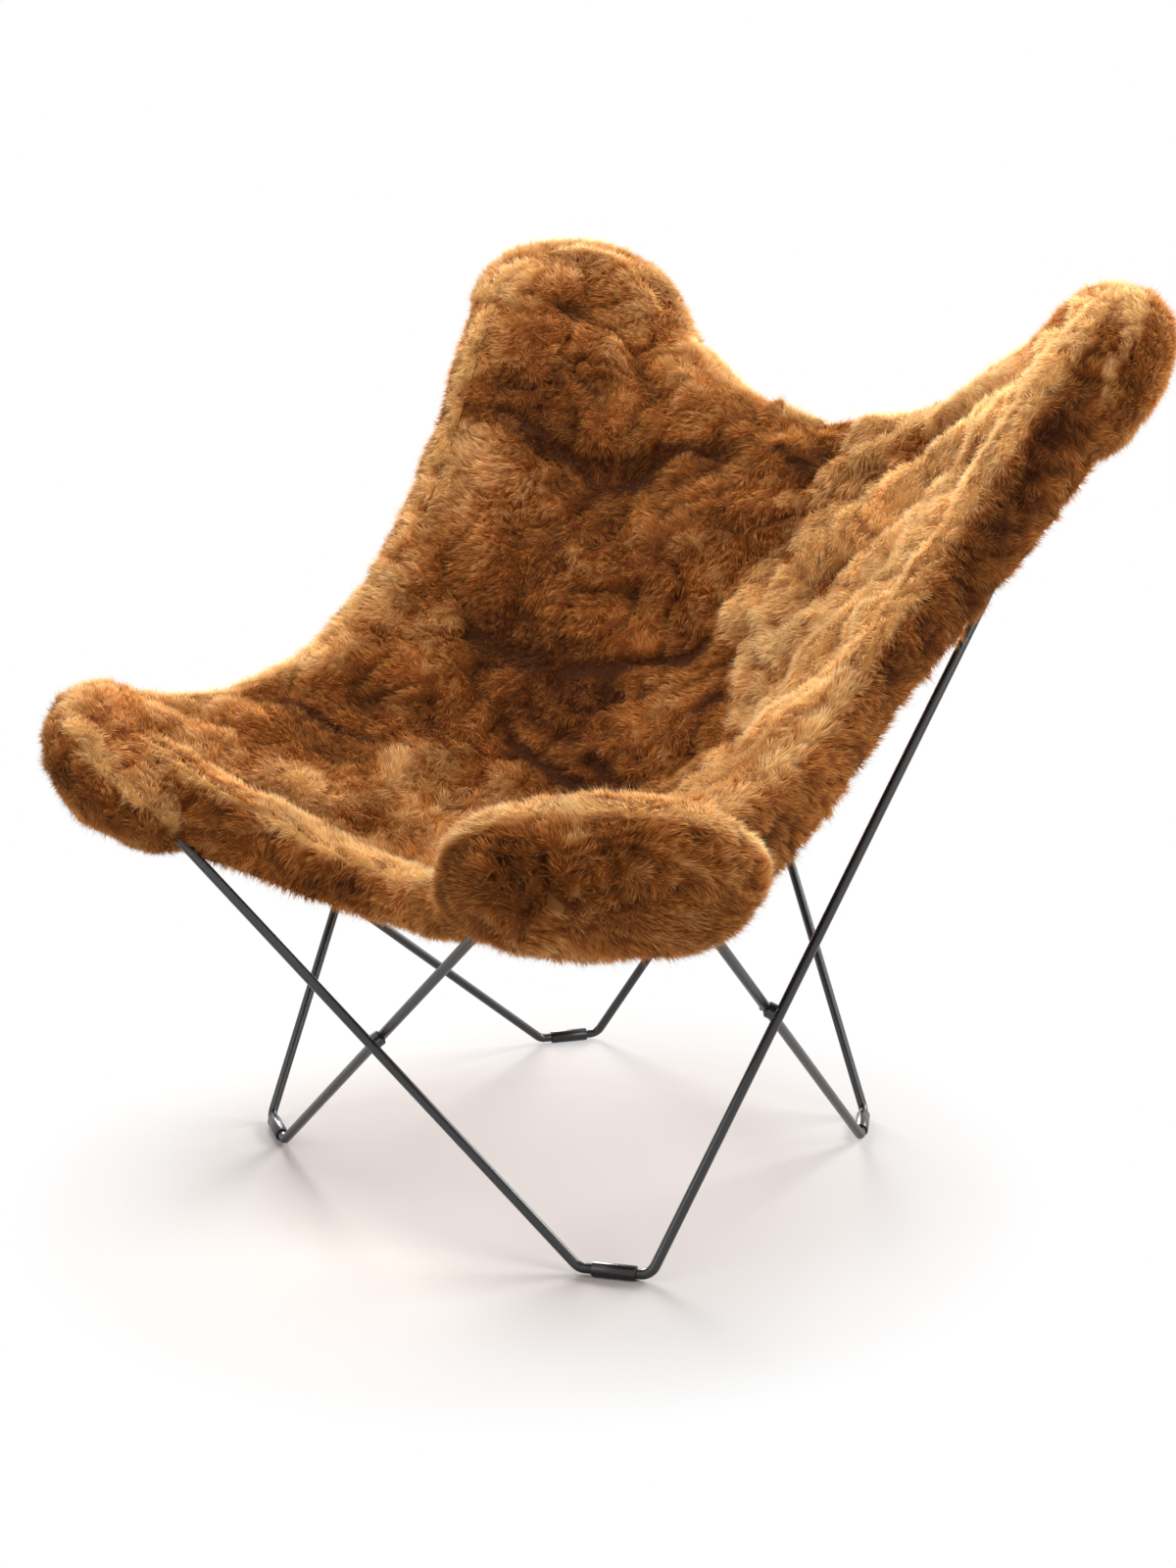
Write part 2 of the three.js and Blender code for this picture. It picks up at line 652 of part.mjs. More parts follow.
// A hem rolls round one edge of the leather and runs back under it
function hemSolid({ sideways, end, drop, dropShares, flare }, grow = 0) {
  const under = -PILE - LEATHER_THICKNESS - HIDE_GAP;
  const centre = -PILE - LEATHER_THICKNESS / 2;
  const ease = grow > 0 ? SEAM_GAP_SHARE : 0;
  const outer = [{ back: 0, past: HEM_SEAM - grow, height: grow, hang: 0 }];
  for (const angle of ROLL_ANGLES) {
    const above = angle > 0;
    const reach = above ? grow - centre : centre - under + grow;
    const past = (grow - centre) * Math.cos(angle) + flare * Math.cos(angle / 2 + ROLL_LEAN);
    const height = centre + reach * Math.sin(angle);
    outer.push({ back: 0, past, height, hang: above ? 0 : Math.sin(angle) });
  }
  const inner = outer.map((p, i) => {
    const share = (i + 1) / outer.length;
    return { back: 0, past: HEM_SEAM - grow, height: (under + grow) * share, hang: 0 };
  });
  const places = sideways ? allColumns : allRows;
  const atStart = end === places[0];
  const band = atStart ? [...places] : places.toReversed();
  HEM_BAND_SHARES.forEach((share, step) => {
    const past = step === 0 ? flare / 2 : 0;
    outer.push({ back: step, past, height: under - grow, hang: -share });
    inner.push({ back: step, past: 0, height: under + grow, hang: 0 });
  });
  const runs = (sideways ? allRows : allColumns).slice(1, -1);
  if (ease > 0) {
    band.splice(HEM_BAND_SHARES.length, 0, band[HEM_BAND_SHARES.length - 1] + (atStart ? ease : -ease));
    outer.push({ ...outer.at(-1), back: HEM_BAND_SHARES.length });
    inner.push({ ...inner.at(-1), back: HEM_BAND_SHARES.length });
    runs.unshift(runs[0] - ease);
    runs.push(runs.at(-1) + ease);
  }
  const rows = runs.map((run) => {
    const hung = drop * shareAt(dropShares, sideways ? run : Math.abs(run));
    const place = ({ back, past, height, hang }) => {
      const across = sideways ? band[back] : run;
      const along = sideways ? run : band[back];
      return coverSpot({ across, along, height: height + hang * hung, past });
    };
    return { outer: outer.map(place), inner: inner.map(place), swapped: end === 1 };
  });
  return sectionSolid(rows);
}

// Rounded pads that wrap the bows
function padSolid(tip, pad, grow, segments) {
  const geometry = new THREE.SphereGeometry(1, segments[0], segments[1]);
  const position = geometry.attributes.position;
  const round = (value) => Math.sign(value) * Math.abs(value) ** PAD_ROUNDNESS_SHARE;
  for (let i = 0; i < position.count; i += 1) {
    position.setXYZ(
      i,
      round(position.getX(i)) * (pad.across + grow),
      round(position.getY(i)) * (pad.along + grow),
      position.getZ(i) * (pad.through + grow),
    );
  }
  geometry.applyMatrix4(new THREE.Matrix4().makeBasis(tip.across, tip.inward, tip.normal));
  const centre = tip.bow.clone()
    .addScaledVector(tip.inward, pad.down)
    .addScaledVector(tip.normal, -pad.sink)
    .addScaledVector(tip.across, pad.shift * Math.sign(tip.bow.x * tip.across.x));
  geometry.translate(centre.x, centre.y, centre.z);
  const solid = solidOf(geometry);
  return solid.volume() > 0 ? solid : solidOf(flippedGeometry(geometry));
}

const padSizes = {
  front_left: FRONT_PAD,
  front_right: FRONT_PAD,
  back_left: { ...BACK_PAD, down: BACK_PAD.down - PAD_RIDE },
  back_right: { ...BACK_PAD, down: BACK_PAD.down + PAD_RIDE },
};
const liningOf = (pad) => ({
  across: pad.across * LINING_ACROSS_SHARE,
  along: pad.along * LINING_ALONG_SHARE,
  through: LINING_HALF_THICKNESS,
  down: pad.along * LINING_ALONG_SHARE - LINING_PAST_BOW,
  sink: 0,
  shift: 0,
});

const padClearances = Object.entries(padSizes)
  .map(([name, pad]) => padSolid(tips[name], pad, FIT, PAD_SEGMENTS));
const aroundTips = [...padClearances, ...softClearances];
const hideBottom = -PILE + HIDE_GAP;
const leatherTop = -PILE;
const leatherBottom = -PILE - LEATHER_THICKNESS;

const hides = {
  fur_seat_left: [endingEarly(leftColumns), endingEarly(seatRows)],
  fur_seat_right: [rightColumns, endingEarly(seatRows)],
  fur_back_left: [endingEarly(leftColumns), backRows],
  fur_back_right: [rightColumns, backRows],
};
const sideHem = { sideways: true, drop: SIDE_HEM_DROP, dropShares: SIDE_DROP_SHARES, flare: SIDE_HEM_FLARE };
const endHem = { sideways: false, flare: 0 };
const hems = {
  fur_hem_left: { ...sideHem, end: -1 },
  fur_hem_right: { ...sideHem, end: 1 },
  fur_hem_front: { ...endHem, end: 0, drop: FRONT_HEM_DROP, dropShares: FRONT_DROP_SHARES },
  fur_hem_back: { ...endHem, end: 1, drop: BACK_HEM_DROP, dropShares: EVEN_DROP_SHARES },
};
const sideHemClearances = [hems.fur_hem_left, hems.fur_hem_right]
  .map((hem) => hemSolid(hem, HEM_CORNER_GAP));

// The chair, piece by piece
const chair = new THREE.Group();

function addPiece(name, geometry, look) {
  const mesh = new THREE.Mesh(geometry, look);
  mesh.name = name;
  chair.add(mesh);
}

for (const [name, solid] of Object.entries(rodSolids)) {
  addPiece(`rod_${name}`, geometryOf(solid), blackRod);
}
addPiece("foot_sleeve_front_right", sleeveGeometry(outerLoop.front), blackSleeve);
addPiece("foot_sleeve_back_left", sleeveGeometry(outerLoop.back), blackSleeve);
addPiece("foot_sleeve_front_left", sleeveGeometry(innerLoop.front), blackSleeve);
addPiece("foot_sleeve_back_right", sleeveGeometry(innerLoop.back), blackSleeve);
for (const name of Object.keys(crossings)) {
  addPiece(`crossing_spacer_${name}`, geometryOf(spacerSolids[name]), blackRod);
  addPiece(`crossing_screw_${name}`, geometryOf(screwSolids[name]), blackScrew);
}

const leather = sheetSolid(allColumns, allRows, leatherTop, leatherBottom);
addPiece("leather_sling", geometryOf(largestOf(cutBy(leather, aroundTips))), suede);
for (const [name, [columns, rows]] of Object.entries(hides)) {
  const hide = hideSolid(columns, rows);
  const look = name === "fur_back_right" ? goldFur : brownFur;
  addPiece(name, geometryOf(largestOf(cutBy(hide, aroundTips))), look);
}
for (const [name, hem] of Object.entries(hems)) {
  const tools = hem.sideways ? aroundTips : [...aroundTips, ...sideHemClearances];
  addPiece(name, geometryOf(largestOf(cutBy(hemSolid(hem), tools))), brownFur);
}
for (const [name, pad] of Object.entries(padSizes)) {
  const lining = padSolid(tips[name], liningOf(pad), 0, LINING_SEGMENTS);
  const hollow = padSolid(tips[name], liningOf(pad), LINING_EASE, LINING_SEGMENTS);
  const shell = cutBy(padSolid(tips[name], pad, 0, PAD_SEGMENTS), [hollow, ...softClearances]);
  addPiece(`pocket_lining_${name}`, geometryOf(largestOf(cutBy(lining, softClearances))), suede);
  addPiece(`fur_pocket_${name}`, geometryOf(largestOf(shell)), darkFur);
}

// The origin is the middle of the footprint box, on the floor
const extent = new THREE.Box3().setFromObject(chair);
const middle = extent.getCenter(new THREE.Vector3());
chair.position.set(-middle.x, -middle.y, -extent.min.z);

export default chair;
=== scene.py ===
import math

import bpy
import numpy as np
from mathutils import Matrix, Vector
from mathutils.bvhtree import BVHTree
from mathutils.kdtree import KDTree

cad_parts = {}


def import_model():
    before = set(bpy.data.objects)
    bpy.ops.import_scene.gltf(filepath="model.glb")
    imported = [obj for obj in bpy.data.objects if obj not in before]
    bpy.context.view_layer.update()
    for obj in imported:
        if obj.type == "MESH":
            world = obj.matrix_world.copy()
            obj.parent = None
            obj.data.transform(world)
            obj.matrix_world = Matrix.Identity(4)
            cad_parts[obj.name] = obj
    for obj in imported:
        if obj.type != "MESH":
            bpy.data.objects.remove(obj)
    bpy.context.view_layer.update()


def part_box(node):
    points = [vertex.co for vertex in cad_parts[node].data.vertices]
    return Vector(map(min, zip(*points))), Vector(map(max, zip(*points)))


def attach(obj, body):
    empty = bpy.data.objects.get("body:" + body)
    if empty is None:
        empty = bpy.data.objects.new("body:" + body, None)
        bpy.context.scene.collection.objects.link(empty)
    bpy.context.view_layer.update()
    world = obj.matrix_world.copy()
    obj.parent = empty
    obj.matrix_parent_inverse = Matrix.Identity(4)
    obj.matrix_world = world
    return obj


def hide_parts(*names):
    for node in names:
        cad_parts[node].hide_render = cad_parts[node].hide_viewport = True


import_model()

# Sizes of the rod frame and cover, repeated in metres from the part
ROD_RADIUS = 0.005
FRONT_FOOT_X, BACK_FOOT_X, FOOT_Y = 0.250, 0.210, 0.214
FRONT_FOOT_TURN, BACK_FOOT_TURN = math.radians(28), math.radians(57)
FOOT_BAR_HALF = 0.0345
FOOT_BEND_RADIUS = 0.014
LOOP_OFFSET = 0.007
FRONT_TIP = (0.393, 0.391, 0.521)
BACK_TIP = (0.441, 0.470, 1.052)
FRONT_BOW_RADIUS, BACK_BOW_RADIUS = 0.046, 0.070
SLEEVE_RADIUS = 0.00725
SLEEVE_LENGTH = 0.043
SLEEVE_FLAT_HALF = 0.003
AXIS_HEIGHT = math.sqrt(SLEEVE_RADIUS ** 2 - SLEEVE_FLAT_HALF ** 2)
ROD_END_GAP = 0.0004
SPACER_RADIUS = 0.008

# Small sizes of the hard pieces
ROD_CHAMFER = 0.0006
BORE_GAP = 0.0003
SPACER_RINGS = (0.0023, 0.004, 0.0055, 0.0066, 0.0074, SPACER_RADIUS)
SPACER_EDGE = 0.0005
SPACER_TRIM = 0.05
SOCKET_HALF, SHANK_RADIUS = 0.00135, 0.0020

# Button head from the floor of its socket to its seat: radius, 0 for the hexagon, and height
SCREW_HEAD = ((0.0004, 0.0009), (0, 0.0011), (0, 0.0023), (0.0021, 0.0024), (0.0030, 0.0020),
              (0.0037, 0.0013), (0.0040, 0.0005), (0.0040, 0.0))

# End of the screw: radius, and length past the rod's axis
SCREW_END = ((SHANK_RADIUS, 0.0018), (0.0013, 0.0025))

# Points round rods, spacers and screws, and steps of bends, hems and pads
ROD_SIDES, SPACER_SIDES, SCREW_SIDES = 28, 40, 36
BEND_STEPS, BOW_STEPS = 12, 36
ROLL_STEPS, BAND_STEPS = 34, 17
PAD_STEPS, LINING_STEPS = 40, 18

# Rounded ends of a sleeve: how far each ring lies in from the side and from the end
SLEEVE_ROUNDING = ((0.0011, 0.0), (0.0004, 0.0003), (0.0, 0.0011))

HALF_WIDTH, DEPTH, HEIGHT = 0.364, 0.408, 0.906
COVER_LEAN = 0.016
EDGE_INSET = 0.035
SEAT_HOLLOW, FRONT_SIDE_SAG = 0.014, 0.012
PILE = 0.026
LEATHER_THICKNESS = 0.003
HIDE_GAP = 0.0003
HEM_SEAM = 0.0015
NORMAL_REACH = 0.140
CENTRE_SEAM, CROSS_SEAM = 0.14, 0.46

FRONT_EDGE = [(0.962, -0.816, 0.561), (0.819, -0.926, 0.557), (0.426, -0.833, 0.466),
              (0.264, -0.583, 0.392), (0, -0.583, 0.392)]
BACK_EDGE = [(1, 0.907, 1), (0.538, 1.297, 1.003), (0.882, 1.047, 0.868),
             (0.132, 1, 0.815), (0, 1, 0.815)]
SIDE_EDGE = [(0.962, -0.816, 0.561), (1.033, -0.711, 0.545), (0.753, 0.118, 0.344),
             (0.81, 0.507, 0.916), (1.365, 0.586, 0.99), (1, 0.907, 1)]

# Folds of the pile: two ends, half width and rise in shares of the pile
FOLDS = [((-0.68, 0.45), (-0.38, 0.5), 0.045, -0.4), ((-0.38, 0.5), (0, 0.59), 0.045, -0.5),
         ((-0.4, 0.4), (0.04, 0.4), 0.045, -0.55), ((-0.95, 0.25), (-0.58, 0.3), 0.05, -0.4),
         ((-0.7, 0.1), (-0.1, 0.15), 0.05, -0.3), ((-1, 0.66), (-0.5, 0.68), 0.04, -0.4),
         ((-0.5, 0.68), (-0.15, 0.86), 0.05, -0.35), ((-0.9, 0.84), (-0.5, 0.88), 0.05, -0.25),
         ((0.2, 0.5), (0.62, 0.36), 0.05, -0.35), ((0.3, 0.78), (0.78, 0.83), 0.045, -0.4),
         ((0.3, 0.63), (0.75, 0.7), 0.045, -0.35), ((0.3, 0.22), (0.85, 0.18), 0.05, -0.35),
         ((0.14, 1), (0.14, 0), 0.05, -0.2)]
DEEPEST_FOLD = -0.7

# Soft swells: turns across and along the cover, phase in turns, and rise in shares of the pile
SWELLS = [(3.1, 2.3, 0.1, 0.12), (-2.2, 7.4, 0.55, 0.13), (1.4, 9.1, 0.3, 0.11)]

# Hems: their drop, and how it varies along the run
SIDE_DROP, FRONT_DROP, BACK_DROP = 0.076, 0.078, 0.027
SIDE_FLARE = 0.016
SIDE_DROPS = ((0.1, 0.17, 0.2, 0.3, 0.4, 0.46, 0.55, 0.65, 0.8, 0.85, 0.91),
              (0.3, 1, 1, 0.82, 0.56, 0.56, 0.8, 0.92, 0.97, 0.9, 0.3))
FRONT_DROPS = ((0, 0.35, 0.5, 0.65, 0.75, 0.82, 0.9), (0.4, 0.54, 0.74, 0.95, 1.12, 1.05, 0.35))
EVEN_DROPS = ((0, 1), (1, 1))
SIDE_BAND, END_BAND = 0.142, 0.18

# Pockets: half sizes across, along and through, the step down from the bow, the sink and the shift
PADS = {
    "front_left": (0.138, 0.095, 0.054, 0.073, -0.006, 0.0),
    "front_right": (0.138, 0.095, 0.054, 0.073, -0.006, 0.0),
    "back_left": (0.120, 0.093, 0.055, 0.040, 0.011, 0.002),
    "back_right": (0.120, 0.093, 0.055, 0.080, 0.011, 0.002),
}
PAD_ROUNDNESS = 0.82
PAD_FULLER = 0.006

# Pocket linings: shares of their pad, half thickness, and how far they reach past the bow
LINING_ACROSS, LINING_ALONG = 0.72, 0.6
LINING_HALF_THICKNESS, LINING_PAST_BOW = 0.0105, 0.010

# Hems: the roll in degrees, ends of the run, steps it is evened over, and hang of the band below
ROLL_ANGLES = (88, -84)
HEM_ENDS = (0.075, 0.925)
HEM_EVENED = 8
BAND_HANG = ((0, 0.5, 1), (1, 0.86, 0.55))

# Middle and half width of the crest and the face of a hem, in steps of its roll
HEM_CREST, HEM_FACE = (6, 6.0), (20, 8.0)

# Tone of hides, hems and pockets, and the painted light that crests add to it and the painted shade
# that faces take from it
HIDE_TONE, HEM_TONE, POCKET_TONE = 0.46, 0.47, 0.44
HEM_CREST_PAINTED_LIGHT, HEM_FACE_PAINTED_SHADE = 0.46, 0.10
POCKET_CREST_PAINTED_LIGHT, POCKET_FACE_PAINTED_SHADE = 0.40, 0.08

# What folds, partings, the pale hide and its wrinkles do to the tone of a hide: painted shade in
# folds and painted light on swells, painted shade in partings and wrinkles, and the pale hide's own
# paler colour
FOLD_PAINTED_SHADE, PARTING_PAINTED_SHADE, GOLD_TONE, WRINKLE_PAINTED_SHADE = 12, 0.7, 0.44, 75

# The longer patch of pile: how far it stands up, and how dark its shadow is
PATCH_RISE, PATCH_SHADOW = 0.006, 0.35

# Relief of the pile: depth of creases and partings, height of locks, and the tone each shifts:
# painted shade in creases and partings, painted light and shade over locks, painted light on swells
CREASE_DEPTH, PART_DEPTH, LOCK_HEIGHT = 0.0065, 0.0038, 0.0034
CREASE_PAINTED_SHADE, PART_PAINTED_SHADE, LOCK_PAINTED_SHADING, SWELL_PAINTED_LIGHT = 0.28, 0.24, 0.28, 18

# Metres that one share of the cover makes across and along it, for grids, seams and partings
GRID_SCALE, SEAM_SCALE, PARTING_SCALE = (0.38, 0.95), (0.36, 0.85), (0.36, 1.15)

# Skins: their depth below the ends of the pile, the step of their grid, and the most they swell
SKIN_DEPTH = 0.0065
STEP = 0.0042
MOST_SWELL = 0.002

# Seams and narrow partings in the pile: half width and depth
SEAM_HALF, SEAM_DIP = 0.011, 0.004
PARTING_HALF, PARTING_DEPTH = 0.0085, 0.0065

# Blades: their width, longest length, start below the skin and pull to the middle of their tuft
BLADE_WIDTHS = (0.00055, 0.00115)
LONGEST_BLADE, ROOT_BELOW, TUFT_PULL = 0.019, 0.0008, 0.3
BLADES_IN_TUFT = 20

# Test of places under other skins: room round their boxes, reach of a ray, and free height
BOX_ROOM, FAR_OFF, FREE_HEIGHT = 0.03, 0.4, 0.003

# Guard hairs: their share of the blades, and how much longer and narrower they are
GUARD_SHARE, GUARD_LENGTH, GUARD_WIDTH = 0.14, 1.6, 0.45

# How far blades lean: with the nap, with noises (step, size and lean), with their tuft, at random
NAP_LEAN, TUFT_LEAN, OWN_LEAN = 0.6, 0.35, 0.16
LEAN_NOISES = ((0.0, 0.085, 0.9), (0.5, 0.03, 0.95), (0.9, 0.012, 0.45))


def linear(red, green, blue):
    """Linear colour of an 8-bit one."""
    out = []
    for value in (red, green, blue):
        c = value / 255
        out.append(c / 12.92 if c <= 0.04045 else ((c + 0.055) / 1.055) ** 2.4)
    return (*out, 1.0)


def unit(v):
    return v / np.maximum(np.linalg.norm(v, axis=-1, keepdims=True), 1e-12)


def mirrored(p):
    return p * np.array([-1.0, 1.0, 1.0])


def smoothstep(x, low, high):
    t = np.clip((x - low) / (high - low), 0, 1)
    return t * t * (3 - 2 * t)


def bell(x):
    return np.exp(-(x ** 2))


def beside(v, normal):
    """The part of a vector that lies across a normal."""
    return v - normal * np.sum(v * normal, -1, keepdims=True)


def from_line(x, y, start, end):
    """How far along a line a place lies, in shares of it, and how far off the line."""
    run = np.subtract(end, start)
    away = (x - start[0], y - start[1])
    share = (away[0] * run[0] + away[1] * run[1]) / (run @ run)
    held = np.clip(share, 0, 1)
    return share, np.hypot(away[0] - held * run[0], away[1] - held * run[1])


# The part's origin is the middle of its box, so everything here moves by the same step
def middle_of_feet():
    middle = np.zeros(3)
    for name in ("front_right", "back_left", "front_left", "back_right"):
        low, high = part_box("foot_sleeve_" + name)
        middle += (np.array(low) + np.array(high)) / 8
    return np.array([middle[0], middle[1], 0.0])


SHIFT = middle_of_feet()


# Soft random fields
class Field:
    """Smooth noise from a seeded grid of random values that repeats past its last cell."""
    CELLS = 24
    FAR = 1000.0

    def __init__(self, seed, channels=1):
        size = (self.CELLS,) * 3 + (channels,)
        self.grid = np.random.default_rng(seed).uniform(-1, 1, size)

    def at(self, points, size):
        x = points / size + self.FAR
        cell = np.floor(x).astype(int)
        t = smoothstep(x - cell, 0, 1)
        total = 0
        for corner in range(8):
            step = np.array([corner & 1, (corner >> 1) & 1, corner >> 2])
            share = np.prod(np.where(step == 1, t, 1 - t), axis=-1)
            i = (cell + step) % self.CELLS
            total = total + self.grid[i[..., 0], i[..., 1], i[..., 2]] * share[..., None]
        return total


NOISE = Field(11)
NOISE_B = Field(12)
NAP = Field(13, 3)


def noise(points, size):
    return NOISE.at(points, size)[..., 0]


def noise_b(points, size):
    return NOISE_B.at(points, size)[..., 0]


# Rod paths
def placed(p, mirror, dy):
    p = np.array(p, float)
    return (mirrored(p) if mirror else p) + np.array([0.0, dy, 0.0])


def foot_bar(mirror, dy, x, y, turn):
    """Middle and direction of a short foot bar."""
    along = np.array([math.cos(turn), math.sin(turn), 0.0])
    return placed((x, y, AXIS_HEIGHT), mirror, dy), mirrored(along) if mirror else along


FRONT_FOOT = (FRONT_FOOT_X, -FOOT_Y, FRONT_FOOT_TURN)
BACK_FOOT = (-BACK_FOOT_X, FOOT_Y, BACK_FOOT_TURN)
LOOP_ONE, LOOP_TWO = (False, -LOOP_OFFSET), (True, LOOP_OFFSET)
FEET = {
    "front_right": foot_bar(*LOOP_ONE, *FRONT_FOOT),
    "back_left": foot_bar(*LOOP_ONE, *BACK_FOOT),
    "front_left": foot_bar(*LOOP_TWO, *FRONT_FOOT),
    "back_right": foot_bar(*LOOP_TWO, *BACK_FOOT),
}


def rod_corners(loop, tip, side):
    """A rod's end and bend at its front foot, its tip, and its bend and end at its back foot."""
    front, front_way = foot_bar(*loop, *FRONT_FOOT)
    back, back_way = foot_bar(*loop, *BACK_FOOT)
    end = side * ROD_END_GAP / 2
    bend = side * FOOT_BAR_HALF
    return [front + front_way * end, front + front_way * bend, placed(tip, *loop),
            back + back_way * bend, back + back_way * end]


FRONT_LOOP_TIP = (-FRONT_TIP[0], -FRONT_TIP[1], FRONT_TIP[2])
RODS = {
    "front_left": (rod_corners(LOOP_ONE, FRONT_LOOP_TIP, -1), FRONT_BOW_RADIUS),
    "back_right": (rod_corners(LOOP_ONE, BACK_TIP, 1), BACK_BOW_RADIUS),
    "front_right": (rod_corners(LOOP_TWO, FRONT_LOOP_TIP, -1), FRONT_BOW_RADIUS),
    "back_left": (rod_corners(LOOP_TWO, BACK_TIP, 1), BACK_BOW_RADIUS),
}


def turned(v, axis, angle):
    return (v * math.cos(angle) + np.cross(axis, v) * math.sin(angle)
            + axis * np.dot(axis, v) * (1 - math.cos(angle)))


def bent_path(corners, radii, steps):
    """Points and directions along straight lines with round bends."""
    points = [corners[0]]
    ways = [unit(corners[1] - corners[0])]
    for start, corner, end, radius, count in zip(corners, corners[1:], corners[2:], radii, steps):
        before = unit(corner - start)
        after = unit(end - corner)
        turn = math.acos(np.clip(np.dot(before, after), -1, 1))
        axis = unit(np.cross(before, after))
        to_centre = np.cross(axis, before) * radius
        centre = corner - before * radius * math.tan(turn / 2) + to_centre
        for angle in turn * np.arange(count + 1) / count:
            points.append(centre + turned(-to_centre, axis, angle))
            ways.append(turned(before, axis, angle))
    points.append(corners[-1])
    ways.append(unit(corners[-1] - corners[-2]))
    return points, ways


# Mesh helpers
def make_mesh(name, verts, faces, smooth=True):
    """A mesh object from points and a list of arrays of faces, each of one corner count."""
    me = bpy.data.meshes.new(name)
    corners = np.concatenate([f.ravel() for f in faces])
    sizes = np.concatenate([np.full(len(f), f.shape[1]) for f in faces])
    starts = np.concatenate([[0], np.cumsum(sizes)[:-1]])
    me.vertices.add(len(verts))
    me.vertices.foreach_set("co", np.asarray(verts, np.float32).ravel())
    me.loops.add(len(corners))
    me.loops.foreach_set("vertex_index", corners.astype(np.int32))
    me.polygons.add(len(sizes))
    me.polygons.foreach_set("loop_start", starts.astype(np.int32))
    me.update(calc_edges=True)
    me.polygons.foreach_set("use_smooth", np.full(len(sizes), smooth))
    me.validate()
    ob = bpy.data.objects.new(name, me)
    bpy.context.scene.collection.objects.link(ob)
    return ob


def add_values(ob, name, values):
    layer = ob.data.attributes.new(name, "FLOAT", "POINT")
    layer.data.foreach_set("value", np.asarray(values, np.float32))


def volume_of(verts, faces):
    total = 0.0
    for f in faces:
        a = verts[f[:, 0]]
        for k in range(1, f.shape[1] - 1):
            total += np.einsum("ij,ij->i", a, np.cross(verts[f[:, k]], verts[f[:, k + 1]])).sum()
    return total / 6


def outward(verts, faces):
    return faces if volume_of(verts, faces) > 0 else [f[:, ::-1] for f in faces]


def grid_faces(index):
    return np.stack([index[:-1, :-1], index[1:, :-1], index[1:, 1:], index[:-1, 1:]],
                    -1).reshape(-1, 4)


def slab(top, bottom):
    """Closed solid between two like grids of points: its points, top faces and other faces."""
    nu, nv = top.shape[:2]
    index = np.arange(nu * nv).reshape(nu, nv)
    low = index + nu * nv
    loop = np.concatenate([index[:-1, 0], index[-1, :-1], index[:0:-1, -1], index[0, :0:-1]])
    after = np.roll(loop, -1)
    walls = np.stack([after, loop, loop + nu * nv, after + nu * nv], -1)
    verts = np.concatenate([top.reshape(-1, 3), bottom.reshape(-1, 3)])
    return verts, grid_faces(index), np.concatenate([grid_faces(low)[:, ::-1], walls])


def from_rings(rings, capped=True):
    """Closed solid from rings of points, with flat ends or back round to its first ring."""
    rings = np.stack(rings)
    n, count = rings.shape[:2]
    index = np.arange(n * count).reshape(n, count)
    around = np.pad(index, ((0, 0 if capped else 1), (0, 1)), "wrap")
    ends = [index[:1, ::-1], index[-1:]] if capped else []
    verts = rings.reshape(-1, 3)
    return verts, outward(verts, [grid_faces(around), *ends])


def spokes(angles, side, up):
    return np.cos(angles)[:, None] * side + np.sin(angles)[:, None] * up


def tube(points, ways, radius, sides):
    """Round bar along a path, with small chamfers at its ends."""
    angles = np.linspace(0, 2 * math.pi, sides, endpoint=False)
    points = [points[0], points[0] + ways[0] * ROD_CHAMFER, *points[1:-1],
              points[-1] - ways[-1] * ROD_CHAMFER, points[-1]]
    ways = [ways[0], *ways, ways[-1]]
    radii = [radius - ROD_CHAMFER, *[radius] * (len(points) - 2), radius - ROD_CHAMFER]
    side = unit(np.cross(ways[0], [0.0, 0.0, 1.0]))
    rings = []
    for p, way, r in zip(points, ways, radii):
        side = unit(side - way * np.dot(side, way))
        rings.append(p + r * spokes(angles, side, np.cross(way, side)))
    return from_rings(rings)


# Node trees
class Nodes:
    def __init__(self, tree):
        self.tree = tree

    def link(self, a, b):
        self.tree.links.new(a, b)

    def feed(self, socket, value):
        """Sets a socket to a value, or links it to another socket."""
        if hasattr(value, "links"):
            self.link(value, socket)
        else:
            socket.default_value = value

    def add(self, kind, **values):
        """A node, with values for its own settings or for its sockets."""
        node = self.tree.nodes.new(kind)
        for key, value in values.items():
            if hasattr(node, key):
                setattr(node, key, value)
            else:
                self.feed(node.inputs[key.replace("_", " ")], value)
        return node

    def math(self, operation, a, b):
        node = self.add("ShaderNodeMath", operation=operation)
        self.feed(node.inputs[0], a)
        self.feed(node.inputs[1], b)
        return node.outputs[0]

    def blend(self, share, a, b):
        """The node that mixes the shaders of two nodes."""
        node = self.add("ShaderNodeMixShader")
        for socket, value in zip(node.inputs, (share, a.outputs[0], b.outputs[0])):
            self.feed(socket, value)
        return node

    def background_rays(self):
        """1 for the rays that show the background, and 0 for those that light the object."""
        path = self.add("ShaderNodeLightPath")
        rays = self.math("MAXIMUM", path.outputs["Is Camera Ray"], path.outputs["Is Glossy Ray"])
        return self.math("MAXIMUM", rays, path.outputs["Is Transmission Ray"])


